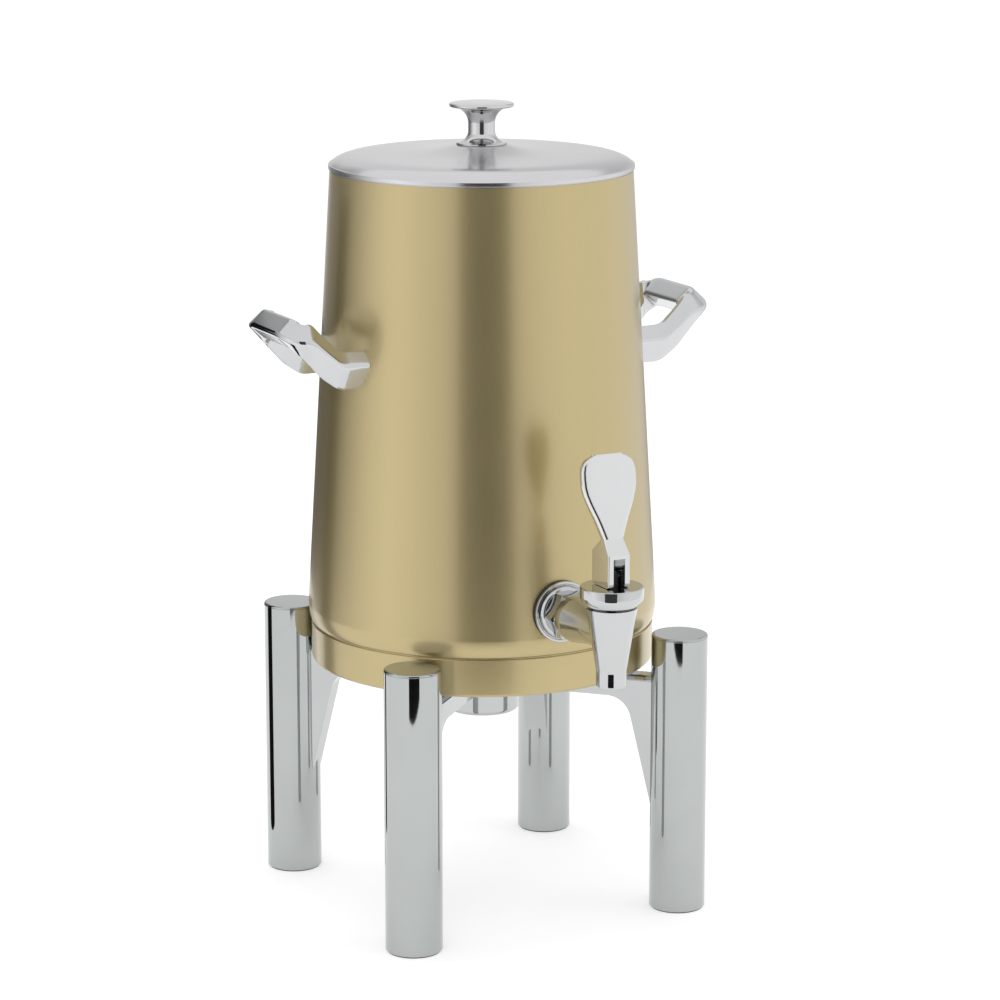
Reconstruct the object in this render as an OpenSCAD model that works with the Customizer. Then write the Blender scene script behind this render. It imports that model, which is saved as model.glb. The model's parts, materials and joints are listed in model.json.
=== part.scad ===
// Insulated coffee urn: a brushed gold cone with a steel liner and a lift-off lid, two cast loop
// handles and a lever faucet, on a chromed stand of four posts joined by arched arms and a hub.
// Millimetres. The origin is on the urn's axis at the floor, +Z is up, and the faucet faces -Y.

/* [Body] */
// Outside diameter of the outer shell at its widest, just above the curled lower edge
shell_bottom_d = 237.4; // [230:0.2:246]
// Outside diameter of the outer shell at its top edge
shell_top_d = 203; // [196:0.5:210]
// Height of the straight cone of the outer shell
cone_h = 294.4; // [275:0.2:320]
// Height over which the shell's lower edge curls inwards
curl_h = 13; // [10:0.5:15]
// Distance by which the shell's lower edge curls inwards
curl_in = 3.1; // [2.5:0.1:3.8]
// Wall of the outer shell
shell_wall = 1; // [0.8:0.1:1.3]
// Foam between the outer shell and the liner, measured level
foam_t = 8.7; // [8.2:0.1:10]
// Wall of the liner
liner_wall = 0.8; // [0.6:0.1:1.2]
// Radius of the liner's bottom corner
liner_corner_r = 6; // [4:0.5:9]
// Width of the gap between the liner's flange edge and the edge of the shell below it
flange_inset = 0.5; // [0.2:0.1:1]
// Thickness of the liner's flange
flange_t = 0.8; // [0.6:0.1:1.2]

/* [Base] */
// Height of the base band
band_h = 25.3; // [22:0.1:29]
// Wall of the base band
band_wall = 1.2; // [1:0.1:1.6]
// Radius of the base band's lower edge
band_edge_r = 2; // [1.5:0.1:2.4]
// Open seam between the base band and the shell
seam_gap = 0.8; // [0.5:0.1:1.2]
// Width of the band's turned-in lip, which carries the base plate
lip_w = 6; // [4:0.5:9]
// Thickness of the band's lip
lip_t = 1; // [0.8:0.1:1.4]
// Thickness of the base plate
plate_t = 1.5; // [1.2:0.1:2.5]
// Diameter of the boss under the middle of the base plate
boss_d = 28; // [24:0.5:34]
// Height of the boss above the base plate
boss_up = 9; // [7:0.5:12]

/* [Stand] */
// Outside diameter of a leg
leg_d = 38.1; // [35:0.1:42]
// Height of a leg from the floor to its flat top
leg_h = 192.5; // [184:0.5:204]
// Wall of the leg tube
leg_wall = 2; // [1.6:0.1:2.6]
// Clearance between each leg and the widest part of the shell
leg_gap = 2.9; // [2:0.1:5]
// Height of the arms' tops above the floor
arm_top_h = 162.5; // [156:0.5:168]
// Depth of the level part of an arm
arm_depth = 15.5; // [14:0.5:18]
// Width of an arm
arm_w = 16; // [14:0.5:20]
// Radius of the rounded upper edges of an arm
arm_edge_r = 4; // [3:0.25:5]
// Distance from the leg at which the arch under an arm begins
arch_reach = 29.5; // [25:0.5:34]
// Radius of the arch under an arm
arch_r = 17; // [13:0.5:20]
// Slope of the gusset below the arch, in degrees from upright
gusset_angle = 13.5; // [11:0.5:17]
// Diameter of the hub
hub_d = 51; // [48:0.5:58]
// Height of the hub
hub_h = 34; // [30:0.5:38]
// Height of the rubber pads between the arms and the base plate
pad_h = 6.2; // [4:0.1:8]
// Height by which the foot pads hold the leg tubes above the floor
foot_reveal = 0.6; // [0.4:0.1:1.5]

/* [Lid] */
// Distance by which the lid's rim overhangs the shell all round
lid_overhang = 0.9; // [0.4:0.1:1.5]
// Height of the lid's rim bead
lid_rim_h = 3.3; // [2.6:0.1:4.2]
// Height of the lid's shoulder above the rim
lid_shoulder_h = 6.4; // [4:0.1:8]
// Height of the flare that rises to the knob
lid_flare_h = 6.1; // [4:0.1:9]
// Wall of the lid cover
lid_wall = 1; // [0.8:0.1:1.3]
// Depth of the lid pan inside the liner's mouth
pan_depth = 16; // [12:0.5:22]
// Clearance between the lid pan and the liner
pan_gap = 1.5; // [1:0.1:2.5]
// Diameter of the knob's top disc
knob_d = 43.2; // [36:0.2:50]
// Height of the knob above the lid
knob_h = 28; // [24:0.5:34]
// Diameter of the knob's neck
knob_neck_d = 18; // [15:0.5:22]
// Diameter of the knob's foot
knob_foot_d = 34; // [30:0.5:38]

/* [Handles] */
// Height of the handle feet's centres above the shell's widest ring
handle_h = 172.1; // [150:0.1:200]
// Distance from the shell to the middle of the grip
handle_reach = 40; // [36:0.1:48]
// Spacing of the handle's two arms
handle_span = 64; // [58:0.5:74]
// Rise of the grip above the feet
handle_rise = 23.3; // [16:0.1:28]
// Height of a handle foot
handle_foot_h = 25; // [21:0.5:28]
// Width of a handle foot
handle_foot_w = 15; // [13.5:0.5:18]
// Width of the grip
grip_w = 21.5; // [17:0.5:25]
// Width of the flats that break the handle's ridges
ridge_flat = 1.4; // [0.8:0.1:2]

/* [Faucet] */
// Height of the faucet's shank above the seam
faucet_h = 29.9; // [27:0.1:36]
// Distance from the shell to the spout's axis
faucet_reach = 68.7; // [64:0.1:78]
// Diameter of the escutcheon
escutcheon_d = 40.8; // [37:0.2:46]
// Thickness of the escutcheon
escutcheon_t = 5; // [4:0.25:7]
// Size across the flats of the hexagon nut in front of the escutcheon
nut_flats = 29; // [26:0.5:33]
// Length of the hexagon nut
nut_l = 11; // [8:0.5:14]
// Outside diameter of the shank
shank_d = 18; // [16:0.5:19]
// Bore of the shank
shank_bore = 11; // [9:0.5:11.5]
// Outside diameter of the spout
spout_d = 19.7; // [18:0.1:22]
// Bore of the spout
spout_bore = 13; // [11:0.5:14]
// Distance from the shank's axis down to the spout's outlet
spout_drop = 33.7; // [30:0.1:38]
// Outside diameter of the faucet body below its bonnet
faucet_body_d = 33; // [29:0.2:35]
// Bore of the valve chamber
chamber_d = 18; // [16.5:0.1:18.5]
// Diameter of the bonnet
bonnet_d = 41; // [36:0.2:44]
// Height of the bonnet
bonnet_h = 14; // [13.5:0.25:17]
// Width of the lever's block
lever_w = 15.6; // [14:0.2:18]
// Depth of the lever's block, front to back
lever_l = 22.6; // [21:0.2:25]
// Height of the lever's block
lever_h = 21.5; // [20:0.5:25]
// Width of the lever's paddle
paddle_w = 39; // [32:0.5:46]
// Height of the lever's paddle
paddle_h = 54.7; // [46:0.1:66]
// Thickness of the lever's paddle
paddle_t = 8; // [6.5:0.25:9.5]
// Backward lean of the paddle, in degrees
paddle_lean = 9; // [5:0.5:12]

/* [Fasteners] */
// Diameter of the bolt that holds the urn to the stand
hub_bolt_d = 8; // [7:0.5:9]
// Diameter of the screws in the arms and the legs
arm_screw_d = 5; // [4.5:0.25:5.5]
// Diameter of the screws that hold the handles
handle_screw_d = 5; // [4.5:0.25:5.5]
// Diameter of the screw that holds the knob
knob_screw_d = 6; // [5:0.5:7]
// Diameter of the lever's pin
pin_d = 3; // [2.6:0.1:3.4]

/* [Hidden] */
$fn = 96;
cut = 2;
fit_gap = 0.1;
thread_gap = 0.05;
hole_gap = 0.1;
front_left_angle = 225;
front_right_angle = 315;
rear_right_angle = 45;
rear_left_angle = 135;
corner_angles = [front_left_angle, front_right_angle, rear_right_angle, rear_left_angle];

// Heights that stack up from the floor
plate_z = arm_top_h + pad_h;
band_z = plate_z - lip_t;
band_top_z = band_z + band_h;
shell_z = band_top_z + seam_gap;
cone_z = shell_z + curl_h;
shell_top_z = cone_z + cone_h;
flange_top_z = shell_top_z + flange_t;
lid_z = flange_top_z + fit_gap;
lid_rim_z = lid_z + lid_rim_h;
faucet_z = shell_z + faucet_h;

// Radii and depths that follow from the driving sizes
leg_r = leg_d / 2;
leg_in_r = leg_r - leg_wall;
leg_s = shell_bottom_d / 2 + leg_gap + leg_r;
arm_bottom_z = arm_top_h - arm_depth;
hub_r = hub_d / 2;
hub_z = arm_top_h - hub_h;
tuck_r = shell_bottom_d / 2 - curl_in;
tuck_depth = 6;
band_r = tuck_r + band_wall;
lid_r = shell_top_d / 2 + lid_overhang;

// Outside radius of the shell at a height on its straight cone, and of the liner inside it
function shell_r(z) = (shell_bottom_d + (shell_top_d - shell_bottom_d) * (z - cone_z) / cone_h) / 2;
function liner_r(z) = shell_r(z) - shell_wall - foam_t;
function arc(cx, cy, r, a0, a1, n) = [for (i = [0:n]) let (a = a0 + (a1 - a0) * i / n)
    [cx + r * cos(a), cy + r * sin(a)]];
function reversed(p) = [for (i = [len(p) - 1:-1:0]) p[i]];

// A solid cone that matches the shell's straight side, moved in or out by a level offset
module cone_core(offset_r) {
    translate([0, 0, cone_z])
        cylinder(h = cone_h, r1 = shell_bottom_d / 2 + offset_r, r2 = shell_top_d / 2 + offset_r);
}

// Places something along the faucet's level axis, its own +Z pointing forwards
module on_shank(distance) {
    translate([0, -distance, faucet_z]) rotate([90, 0, 0]) children();
}

// A plain ring, with its lower face at the origin
module ring(outer_r, inner_r, h) {
    difference() {
        cylinder(h = h, r = outer_r);
        translate([0, 0, -cut]) cylinder(h = h + 2 * cut, r = inner_r);
    }
}

// A hexagon with both ends chamfered, and a hole
module hex_nut(flats, h, hole_r, chamfer) {
    flat_r = flats / 2;
    corner_r = flat_r / cos(30);
    difference() {
        intersection() {
            cylinder(h = h, r = corner_r, $fn = 6);
            rotate_extrude() polygon([[0, 0], [corner_r - chamfer, 0], [corner_r, chamfer / 2],
                [corner_r, h - chamfer / 2], [corner_r - chamfer, h], [0, h]]);
        }
        translate([0, 0, -cut]) cylinder(h = h + 2 * cut, r = hole_r);
    }
}

head_share = 0.84;
socket_share = 0.6;

// A cap screw along +Z: the head ends at the origin and the shank goes on from it
module cap_screw(d, l) {
    head_r = d * head_share;
    translate([0, 0, -d]) difference() {
        cylinder(h = d, r = head_r);
        translate([0, 0, -cut]) cylinder(h = cut + d / 2, r = head_r * socket_share, $fn = 6);
    }
    cylinder(h = l, r = d / 2);
}

// A closed solid through rings of points that all have the same count
module loft(rings) {
    m = len(rings[0]);
    n = len(rings);
    points = [for (r = rings) each r];
    sides = [for (i = [0:n - 2], j = [0:m - 1]) let (k = (j + 1) % m)
        each [[i * m + j, i * m + k, (i + 1) * m + k], [i * m + j, (i + 1) * m + k, (i + 1) * m + j]]];
    first = [for (j = [m - 1:-1:0]) j];
    last = [for (j = [0:m - 1]) (n - 1) * m + j];
    polyhedron(points, concat(sides, [first, last]));
}

// Legs
cap_t = 1.8;
cap_edge_r = 1.5;
cap_spigot = 8;
leg_edge_r = 1.2;
leg_screw_hole_r = arm_screw_d / 2 + hole_gap;
leg_screw_share = 1.7;
leg_screw_z = [arm_bottom_z + arm_depth / 2, arm_bottom_z - arm_screw_d * leg_screw_share];

module leg(angle) {
    rotate([0, 0, angle]) translate([leg_s, 0, 0]) difference() {
        rotate_extrude() polygon(concat(
            [[leg_in_r, foot_reveal]],
            arc(leg_r - leg_edge_r, foot_reveal + leg_edge_r, leg_edge_r, -90, 0, 5),
            [[leg_r, leg_h - cap_t], [leg_in_r, leg_h - cap_t]]));
        for (z = leg_screw_z)
            translate([-leg_r - cut, 0, z]) rotate([0, 90, 0]) cylinder(h = leg_r, r = leg_screw_hole_r);
    }
}
module leg_front_left() { color("silver") leg(front_left_angle); }
module leg_front_right() { color("silver") leg(front_right_angle); }
module leg_rear_left() { color("silver") leg(rear_left_angle); }
module leg_rear_right() { color("silver") leg(rear_right_angle); }

module leg_caps() {
    color("gainsboro") for (angle = corner_angles) rotate([0, 0, angle]) translate([leg_s, 0, leg_h - cap_t])
        rotate_extrude() polygon(concat(
            [[0, -cap_spigot], [leg_in_r - fit_gap, -cap_spigot], [leg_in_r - fit_gap, 0], [leg_r, 0]],
            arc(leg_r - cap_edge_r, cap_t - cap_edge_r, cap_edge_r, 0, 90, 5),
            [[0, cap_t]]));
}

foot_plug = 8;
foot_setback = 1.2;
module foot_pads() {
    color("dimgray") for (angle = corner_angles) rotate([0, 0, angle]) translate([leg_s, 0, 0]) {
        cylinder(h = foot_reveal, r = leg_r - foot_setback);
        cylinder(h = foot_plug, r = leg_in_r - fit_gap);
    }
}

// Arms: an outline in a plane through the urn's axis, cut from a bar with rounded upper edges
arm_screw_share = 1.1;
arm_screw_z = arm_bottom_z + arm_screw_d * arm_screw_share;
arm_screw_l = 18;
leg_screw_l = 12;
arch_s = leg_s - leg_r - arch_reach;
arch_z = arm_bottom_z - arch_r;
gusset_s = arch_s + arch_r * cos(gusset_angle);
gusset_z = arch_z + arch_r * sin(gusset_angle);
gusset_end_z = gusset_z - (leg_s - gusset_s) / tan(gusset_angle);

module arm(angle) {
    rotate([0, 0, angle]) difference() {
        intersection() {
            rotate([90, 0, 0]) linear_extrude(arm_w, center = true) polygon(concat(
                [[0, arm_top_h], [0, arm_bottom_z]],
                arc(arch_s, arch_z, arch_r, 90, gusset_angle, 8),
                [[leg_s, gusset_end_z], [leg_s, arm_top_h]]));
            rotate([90, 0, 90]) linear_extrude(leg_s) polygon(concat(
                [[-arm_w / 2, 0], [arm_w / 2, 0]],
                arc(arm_w / 2 - arm_edge_r, arm_top_h - arm_edge_r, arm_edge_r, 0, 90, 6),
                arc(arm_edge_r - arm_w / 2, arm_top_h - arm_edge_r, arm_edge_r, 90, 180, 6)));
        }
        cylinder(h = arm_top_h + cut, r = hub_r);
        translate([leg_s, 0, 0]) cylinder(h = arm_top_h + cut, r = leg_r);
        translate([0, 0, arm_screw_z]) rotate([0, 90, 0])
            cylinder(h = hub_r + arm_screw_l, r = arm_screw_d / 2 + thread_gap);
        for (z = leg_screw_z)
            translate([leg_s, 0, z]) rotate([0, -90, 0])
                cylinder(h = leg_r + leg_screw_l, r = arm_screw_d / 2 + thread_gap);
    }
}
module arm_front_left() { color("lightgray") arm(front_left_angle); }
module arm_front_right() { color("lightgray") arm(front_right_angle); }
module arm_rear_left() { color("lightgray") arm(rear_left_angle); }
module arm_rear_right() { color("lightgray") arm(rear_right_angle); }

// The screws sit in the legs' hollow and pull the arms' ends against the tubes
module leg_screws() {
    head_in = sqrt(pow(leg_in_r, 2) - pow(arm_screw_d * head_share, 2)) - fit_gap;
    color("darkgray") for (angle = corner_angles, z = leg_screw_z)
        rotate([0, 0, angle]) translate([leg_s - head_in, 0, z]) rotate([0, -90, 0])
            cap_screw(arm_screw_d, leg_r - head_in + leg_screw_l - fit_gap);
}

// Hub: a cup open below, with the bolts inside it and a cap pressed into its mouth
hub_wall = 5.5;
hub_web = 4.5;
hub_edge_r = 3;
cap_h = 3;
cap_dome = 1;
cap_dome_share = 0.75;
washer_t = 1.6;
hub_head_flats = 13;
hub_head_h = 5.3;
hub_cup_r = hub_r - hub_wall;
hub_web_z = arm_top_h - hub_web;

module stand_hub() {
    color("lightgray") difference() {
        rotate_extrude() polygon(concat(
            [[hub_bolt_d / 2 + hole_gap, hub_web_z], [hub_cup_r, hub_web_z], [hub_cup_r, hub_z]],
            arc(hub_r - hub_edge_r, hub_z + hub_edge_r, hub_edge_r, -90, 0, 5),
            [[hub_r, arm_top_h], [hub_bolt_d / 2 + hole_gap, arm_top_h]]));
        for (angle = corner_angles) rotate([0, 0, angle]) translate([0, 0, arm_screw_z])
            rotate([0, 90, 0]) cylinder(h = hub_r + cut, r = arm_screw_d / 2 + hole_gap);
    }
}
module hub_cap() {
    color("silver") translate([0, 0, hub_z]) rotate_extrude() polygon(
        [[0, -cap_dome], [hub_cup_r / 2, -cap_dome * cap_dome_share], [hub_cup_r, 0],
        [hub_cup_r, cap_h], [0, cap_h]]);
}

module arm_screws() {
    head_out = sqrt(pow(hub_cup_r, 2) - pow(arm_screw_d * head_share, 2)) - fit_gap;
    color("darkgray") for (angle = corner_angles) rotate([0, 0, angle])
        translate([head_out, 0, arm_screw_z]) rotate([0, 90, 0])
            cap_screw(arm_screw_d, hub_r - head_out + arm_screw_l - fit_gap);
}
module hub_bolt() {
    head_z = hub_web_z - washer_t - hub_head_h;
    color("darkgray") translate([0, 0, head_z]) {
        cylinder(h = hub_head_h, r = hub_head_flats / 2 / cos(30), $fn = 6);
        cylinder(h = plate_z + boss_up - fit_gap - head_z, r = hub_bolt_d / 2);
    }
}
module hub_washer() {
    color("gray") translate([0, 0, hub_web_z - washer_t])
        ring(hub_bolt_d, hub_bolt_d / 2 + hole_gap, washer_t);
}

pad_l = 24;
pad_place_share = 0.7;
module rest_pads() {
    color("dimgray") for (angle = corner_angles) rotate([0, 0, angle])
        translate([(leg_s - leg_r) * pad_place_share - pad_l / 2, arm_edge_r - arm_w / 2, arm_top_h])
            cube([pad_l, arm_w - 2 * arm_edge_r, pad_h]);
}

// Base of the body
band_chamfer = 0.4;
module base_band() {
    inner_r = band_r - band_wall;
    color("darkgoldenrod") rotate_extrude() polygon(concat(
        [[inner_r - lip_w, band_z]],
        arc(band_r - band_edge_r, band_z + band_edge_r, band_edge_r, -90, 0, 6),
        [[band_r, band_top_z - band_chamfer], [band_r - band_chamfer, band_top_z], [inner_r, band_top_z],
        [inner_r, plate_z], [inner_r - lip_w, plate_z]]));
}
module base_plate() {
    thread_r = hub_bolt_d / 2 + thread_gap;
    color("gray") rotate_extrude() polygon([[thread_r, arm_top_h], [boss_d / 2, arm_top_h],
        [boss_d / 2, plate_z], [band_r - band_wall - fit_gap, plate_z],
        [band_r - band_wall - fit_gap, plate_z + plate_t], [boss_d / 2, plate_z + plate_t],
        [boss_d / 2, plate_z + boss_up], [thread_r, plate_z + boss_up]]);
}
module base_foam() {
    low_z = plate_z + plate_t;
    top_z = plate_z + boss_up + fit_gap;
    color("khaki") rotate_extrude() polygon([[boss_d / 2 + fit_gap, low_z],
        [tuck_r - shell_wall - fit_gap, low_z], [tuck_r - shell_wall - fit_gap, liner_z],
        [0, liner_z], [0, top_z], [boss_d / 2 + fit_gap, top_z]]);
}

// Outer shell: a cone whose lower edge curls in and tucks inside the base band
shell_curve = concat(
    [[tuck_r, band_top_z - tuck_depth]],
    [for (i = [0:8]) let (a = 90 - 90 * i / 8) [tuck_r + curl_in * cos(a), cone_z - curl_h * sin(a)]],
    [[shell_top_d / 2, shell_top_z]]);
module shell_core() {
    rotate_extrude() polygon(concat([[0, shell_curve[0][1]]], shell_curve, [[0, shell_top_z]]));
}
module outer_shell() {
    color("goldenrod") difference() {
        rotate_extrude() polygon(concat(shell_curve,
            reversed([for (p = shell_curve) [p[0] - shell_wall, p[1]]])));
        on_shank(0) cylinder(h = shell_bottom_d, r = shank_d / 2 + hole_gap);
        handle_screw_holes(handle_screw_d / 2 + hole_gap);
    }
}

// Liner: a tapered pot with a flange that covers the shell's upper edge
liner_sump = 16;
liner_z = faucet_z - liner_sump - liner_wall;
liner_foot_r = liner_r(liner_z + liner_corner_r);
liner_mouth_r = liner_r(shell_top_z);
corner_s = liner_foot_r - liner_corner_r;
corner_z = liner_z + liner_corner_r;
liner_hollow = concat([[liner_mouth_r - liner_wall, flange_top_z]],
    arc(corner_s, corner_z, liner_corner_r - liner_wall, 0, -90, 5),
    [[0, liner_z + liner_wall]]);
module liner_core() {
    rotate_extrude() polygon(concat(liner_hollow, [[0, flange_top_z]]));
}
module inner_liner() {
    color("lightsteelblue") difference() {
        rotate_extrude() polygon(concat(
            [[0, liner_z]],
            arc(corner_s, corner_z, liner_corner_r, -90, 0, 5),
            [[liner_mouth_r, shell_top_z], [shell_top_d / 2 - flange_inset, shell_top_z],
            [shell_top_d / 2 - flange_inset, flange_top_z]],
            liner_hollow));
        on_shank(0) cylinder(h = shell_bottom_d, r = shank_d / 2 + hole_gap);
    }
}
module wall_foam() {
    low_z = max(liner_z, cone_z);
    top_z = shell_top_z - fit_gap;
    foot_r = liner_r(low_z) + fit_gap;
    color("khaki") difference() {
        rotate_extrude() polygon([[foot_r, low_z], [shell_r(low_z) - shell_wall - fit_gap, low_z],
            [shell_r(top_z) - shell_wall - fit_gap, top_z], [liner_r(top_z) + fit_gap, top_z]]);
        on_shank(0) cylinder(h = shell_bottom_d, r = spacer_r + hole_gap);
        intersection() {
            handle_ring(foam_t);
            for (side = [-1, 1]) handle_block(side, fit_gap);
        }
    }
}

// Handles: a loop of diamond section that leaves the shell level, rises and turns into the grip.
// Each row holds shares of the reach, half span, rise, step from foot width to grip width and foot
// height, and the angle by which the loop has turned
handle_shares = [
    [-0.26, 1, 0, 0, 1, 0],
    [0.267, 1, 0, 0, 1.03, 0],
    [0.6, 1, 0.47, 0.08, 1.1, 0],
    [0.765, 0.985, 0.79, 0.2, 1.06, 12],
    [0.905, 0.965, 0.9, 0.72, 0.8, 45],
    [1, 0.74, 1.1, 1, 0.76, 92]];
handle_z = cone_z + handle_h;
handle_base_r = shell_r(handle_z);
handle_screw_angle = asin(handle_span / 2 / handle_base_r);
plate_wall = 2;
plate_h = 26;
plate_margin = 14;
screw_seat_gap = 0.4;
handle_screw_l = 11;

function handle_ring_points(s) = let (
        turn = s[5],
        half_w = (handle_foot_w + (grip_w - handle_foot_w) * s[3]) / 2,
        half_h = handle_foot_h * s[4] / 2,
        flat = ridge_flat / 2,
        x = handle_base_r + handle_reach * s[0],
        y = -handle_span / 2 * s[1],
        z = handle_z + handle_rise * s[2])
    [for (p = [[half_w, flat], [flat, half_h], [-flat, half_h], [-half_w, flat],
        [-half_w, -flat], [-flat, -half_h], [flat, -half_h], [half_w, -flat]])
        [x + p[0] * sin(turn), y - p[0] * cos(turn), z + p[1]]];
handle_half = [for (s = handle_shares) handle_ring_points(s)];
function across(r) = [for (p = [r[3], r[2], r[1], r[0], r[7], r[6], r[5], r[4]]) [p[0], -p[1], p[2]]];
function swapped(r) = [r[3], r[2], r[1], r[0], r[7], r[6], r[5], r[4]];

module handle_screw_holes(r) {
    for (side = [0, 180], turn = [-1, 1]) rotate([0, 0, side + turn * handle_screw_angle])
        translate([0, 0, handle_z]) rotate([0, 90, 0])
            cylinder(h = handle_base_r + handle_screw_l, r = r);
}
module handle() {
    difference() {
        loft(concat(handle_half, reversed([for (r = handle_half) swapped(across(r))])));
        cone_core(0);
        handle_screw_holes(handle_screw_d / 2 + thread_gap);
    }
}
module handle_right() { color("whitesmoke") handle(); }
module handle_left() { color("whitesmoke") mirror([1, 0, 0]) handle(); }

// The plates and the screws that hold the handles from inside the shell
module handle_ring(depth) {
    difference() {
        cone_core(-shell_wall);
        cone_core(-shell_wall - depth);
    }
}
module handle_block(side, gap) {
    half_y = handle_span / 2 + plate_margin + gap;
    translate([side * handle_base_r / 2 - handle_base_r / 2, -half_y, handle_z - plate_h / 2 - gap])
        translate([side > 0 ? handle_base_r / 2 : -handle_base_r / 2, 0, 0])
            cube([handle_base_r, 2 * half_y, plate_h + 2 * gap]);
}
module handle_plates() {
    color("gray") difference() {
        intersection() {
            handle_ring(plate_wall);
            for (side = [-1, 1]) handle_block(side, 0);
        }
        handle_screw_holes(handle_screw_d / 2 + hole_gap);
    }
}
module handle_screws() {
    head_r = handle_base_r - shell_wall - plate_wall - screw_seat_gap;
    color("darkgray") for (side = [0, 180], turn = [-1, 1])
        rotate([0, 0, side + turn * handle_screw_angle]) translate([head_r, 0, handle_z])
            rotate([0, 90, 0]) cap_screw(handle_screw_d, handle_base_r - head_r + handle_screw_l - fit_gap);
}

// Lid: a shoulder just inside the rim, a nearly flat field and a flare that rises to the knob
lid_edge_r = 1;
bead_w = 2.8;
flare_l = 18;
shoulder_power = 14;
lid_steps = 16;
lid_field_r = lid_r - lid_edge_r;
knob_foot_r = knob_foot_d / 2;
pan_flange_t = 0.8;
pan_wall = 0.8;
pan_r = liner_mouth_r - liner_wall - pan_gap;
pan_draft = 1;
foam_clear = 0.3;
foam_floor = 5;
function lid_rise(r) = lid_shoulder_h * (1 - pow(r / lid_field_r, shoulder_power))
    + lid_flare_h * exp(-max(r - knob_foot_r, 0) / flare_l);
knob_z = lid_rim_z + lid_rise(knob_foot_r);
lid_curve = [for (i = [0:lid_steps]) let (r = lid_field_r + (knob_foot_r - lid_field_r) * i / lid_steps)
    [r, lid_rim_z + lid_rise(r)]];

module lid_cover() {
    under = [for (p = lid_curve) if (p[0] < lid_r - bead_w) [p[0], p[1] - lid_wall]];
    color("silver") rotate_extrude() polygon(concat(
        [[lid_r - bead_w, lid_z], [lid_r, lid_z]],
        arc(lid_r - lid_edge_r, lid_rim_z - lid_edge_r, lid_edge_r, 0, 90, 4),
        lid_curve,
        [[knob_screw_d / 2 + hole_gap, knob_z], [knob_screw_d / 2 + hole_gap, knob_z - lid_wall]],
        reversed(under),
        [[lid_r - bead_w, lid_rim_z]]));
}
module lid_pan() {
    flange_r = lid_r - bead_w;
    floor_z = lid_z - pan_depth;
    color("lightsteelblue") rotate_extrude() polygon([[0, floor_z], [pan_r - pan_draft, floor_z],
        [pan_r, lid_z + fit_gap], [flange_r, lid_z + fit_gap], [flange_r, lid_z + fit_gap + pan_flange_t],
        [pan_r - pan_wall, lid_z + fit_gap + pan_flange_t], [pan_r - pan_draft - pan_wall, floor_z + pan_wall],
        [0, floor_z + pan_wall]]);
}
module lid_foam() {
    foam_r = pan_r - pan_draft - pan_wall - fit_gap;
    low_z = lid_z - pan_depth + pan_wall;
    pocket_r = knob_screw_d + fit_gap + washer_t;
    under = [for (p = lid_curve) if (p[0] < foam_r) [p[0], p[1] - lid_wall - foam_clear]];
    color("khaki") rotate_extrude() polygon(concat(
        [[0, low_z], [foam_r, low_z], [foam_r, lid_rim_z]],
        under,
        [[pocket_r, knob_z - lid_wall - foam_clear], [pocket_r, low_z + foam_floor], [0, low_z + foam_floor]]));
}

// Knob: a flared foot, a straight neck and a trumpet that opens to a thin disc
knob_foot_t = 1.2;
knob_foot_h = 7.5;
knob_disc_t = 2.6;
knob_disc_edge_r = 1.1;
knob_flare_h = 11;
knob_dome = 0.6;
flare_r_share = 0.93;
knob_hole_share = 0.5;
knob_dome_share = 0.3;
module lid_knob() {
    neck_r = knob_neck_d / 2;
    disc_r = knob_d / 2;
    foot_sweep = knob_foot_r - neck_r;
    disc_z = knob_h - knob_dome - knob_disc_t;
    flare_w = disc_r * flare_r_share - neck_r;
    color("gainsboro") translate([0, 0, knob_z]) difference() {
        rotate_extrude() polygon(concat(
            [[0, 0], [knob_foot_r, 0]],
            [for (i = [0:6]) let (a = 90 * i / 6)
                [knob_foot_r - foot_sweep * sin(a), knob_foot_t + knob_foot_h * (1 - cos(a))]],
            [for (i = [0:8]) let (a = 90 * i / 8)
                [neck_r + flare_w * (1 - cos(a)), disc_z - knob_flare_h * (1 - sin(a))]],
            arc(disc_r - knob_disc_edge_r, disc_z + knob_disc_edge_r, knob_disc_edge_r, -90, 0, 4),
            arc(disc_r - knob_disc_edge_r, disc_z + knob_disc_t - knob_disc_edge_r, knob_disc_edge_r, 0, 90, 4),
            [[disc_r / 2, knob_h - knob_dome * knob_dome_share], [0, knob_h]]));
        translate([0, 0, -cut])
            cylinder(h = cut + knob_h * knob_hole_share, r = knob_screw_d / 2 + thread_gap);
    }
}
module knob_washer() {
    color("gray") translate([0, 0, knob_z - lid_wall - washer_t])
        ring(knob_screw_d, knob_screw_d / 2 + hole_gap, washer_t);
}
module knob_screw() {
    color("darkgray") translate([0, 0, knob_z - lid_wall - washer_t])
        cap_screw(knob_screw_d, lid_wall + washer_t + knob_h * knob_hole_share - fit_gap);
}

// Faucet: distances are measured forwards from the urn's axis along the shank
shank_r = shank_d / 2;
wall_d = shell_r(faucet_z);
liner_in_d = liner_r(faucet_z) - liner_wall;
gasket_t = 1.6;
gasket_back = 4;
bead_ring_w = 2;
bead_ring_h = 2.2;
bead_ring_edge = 0.5;
groove_w = 0.5;
groove_h = 1.2;
dome_top_r = 15.2;
nut_chamfer = 1.6;
liner_gasket_t = 3.2;
locknut_flats = 26;
locknut_l = 8;
spacer_r = 12;
shank_proud = 3;
shank_grip = 18;
boss_r = 15.4;
boss_l = 8;
boss_neck_r = 12;
boss_taper_l = 18;
escutcheon_d0 = wall_d + gasket_t;
nut_d0 = escutcheon_d0 + escutcheon_t;
boss_d0 = nut_d0 + nut_l;
spout_s = wall_d + faucet_reach;
shank_start = liner_in_d - liner_gasket_t - locknut_l - shank_proud;
shank_end = boss_d0 + shank_grip;

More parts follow.
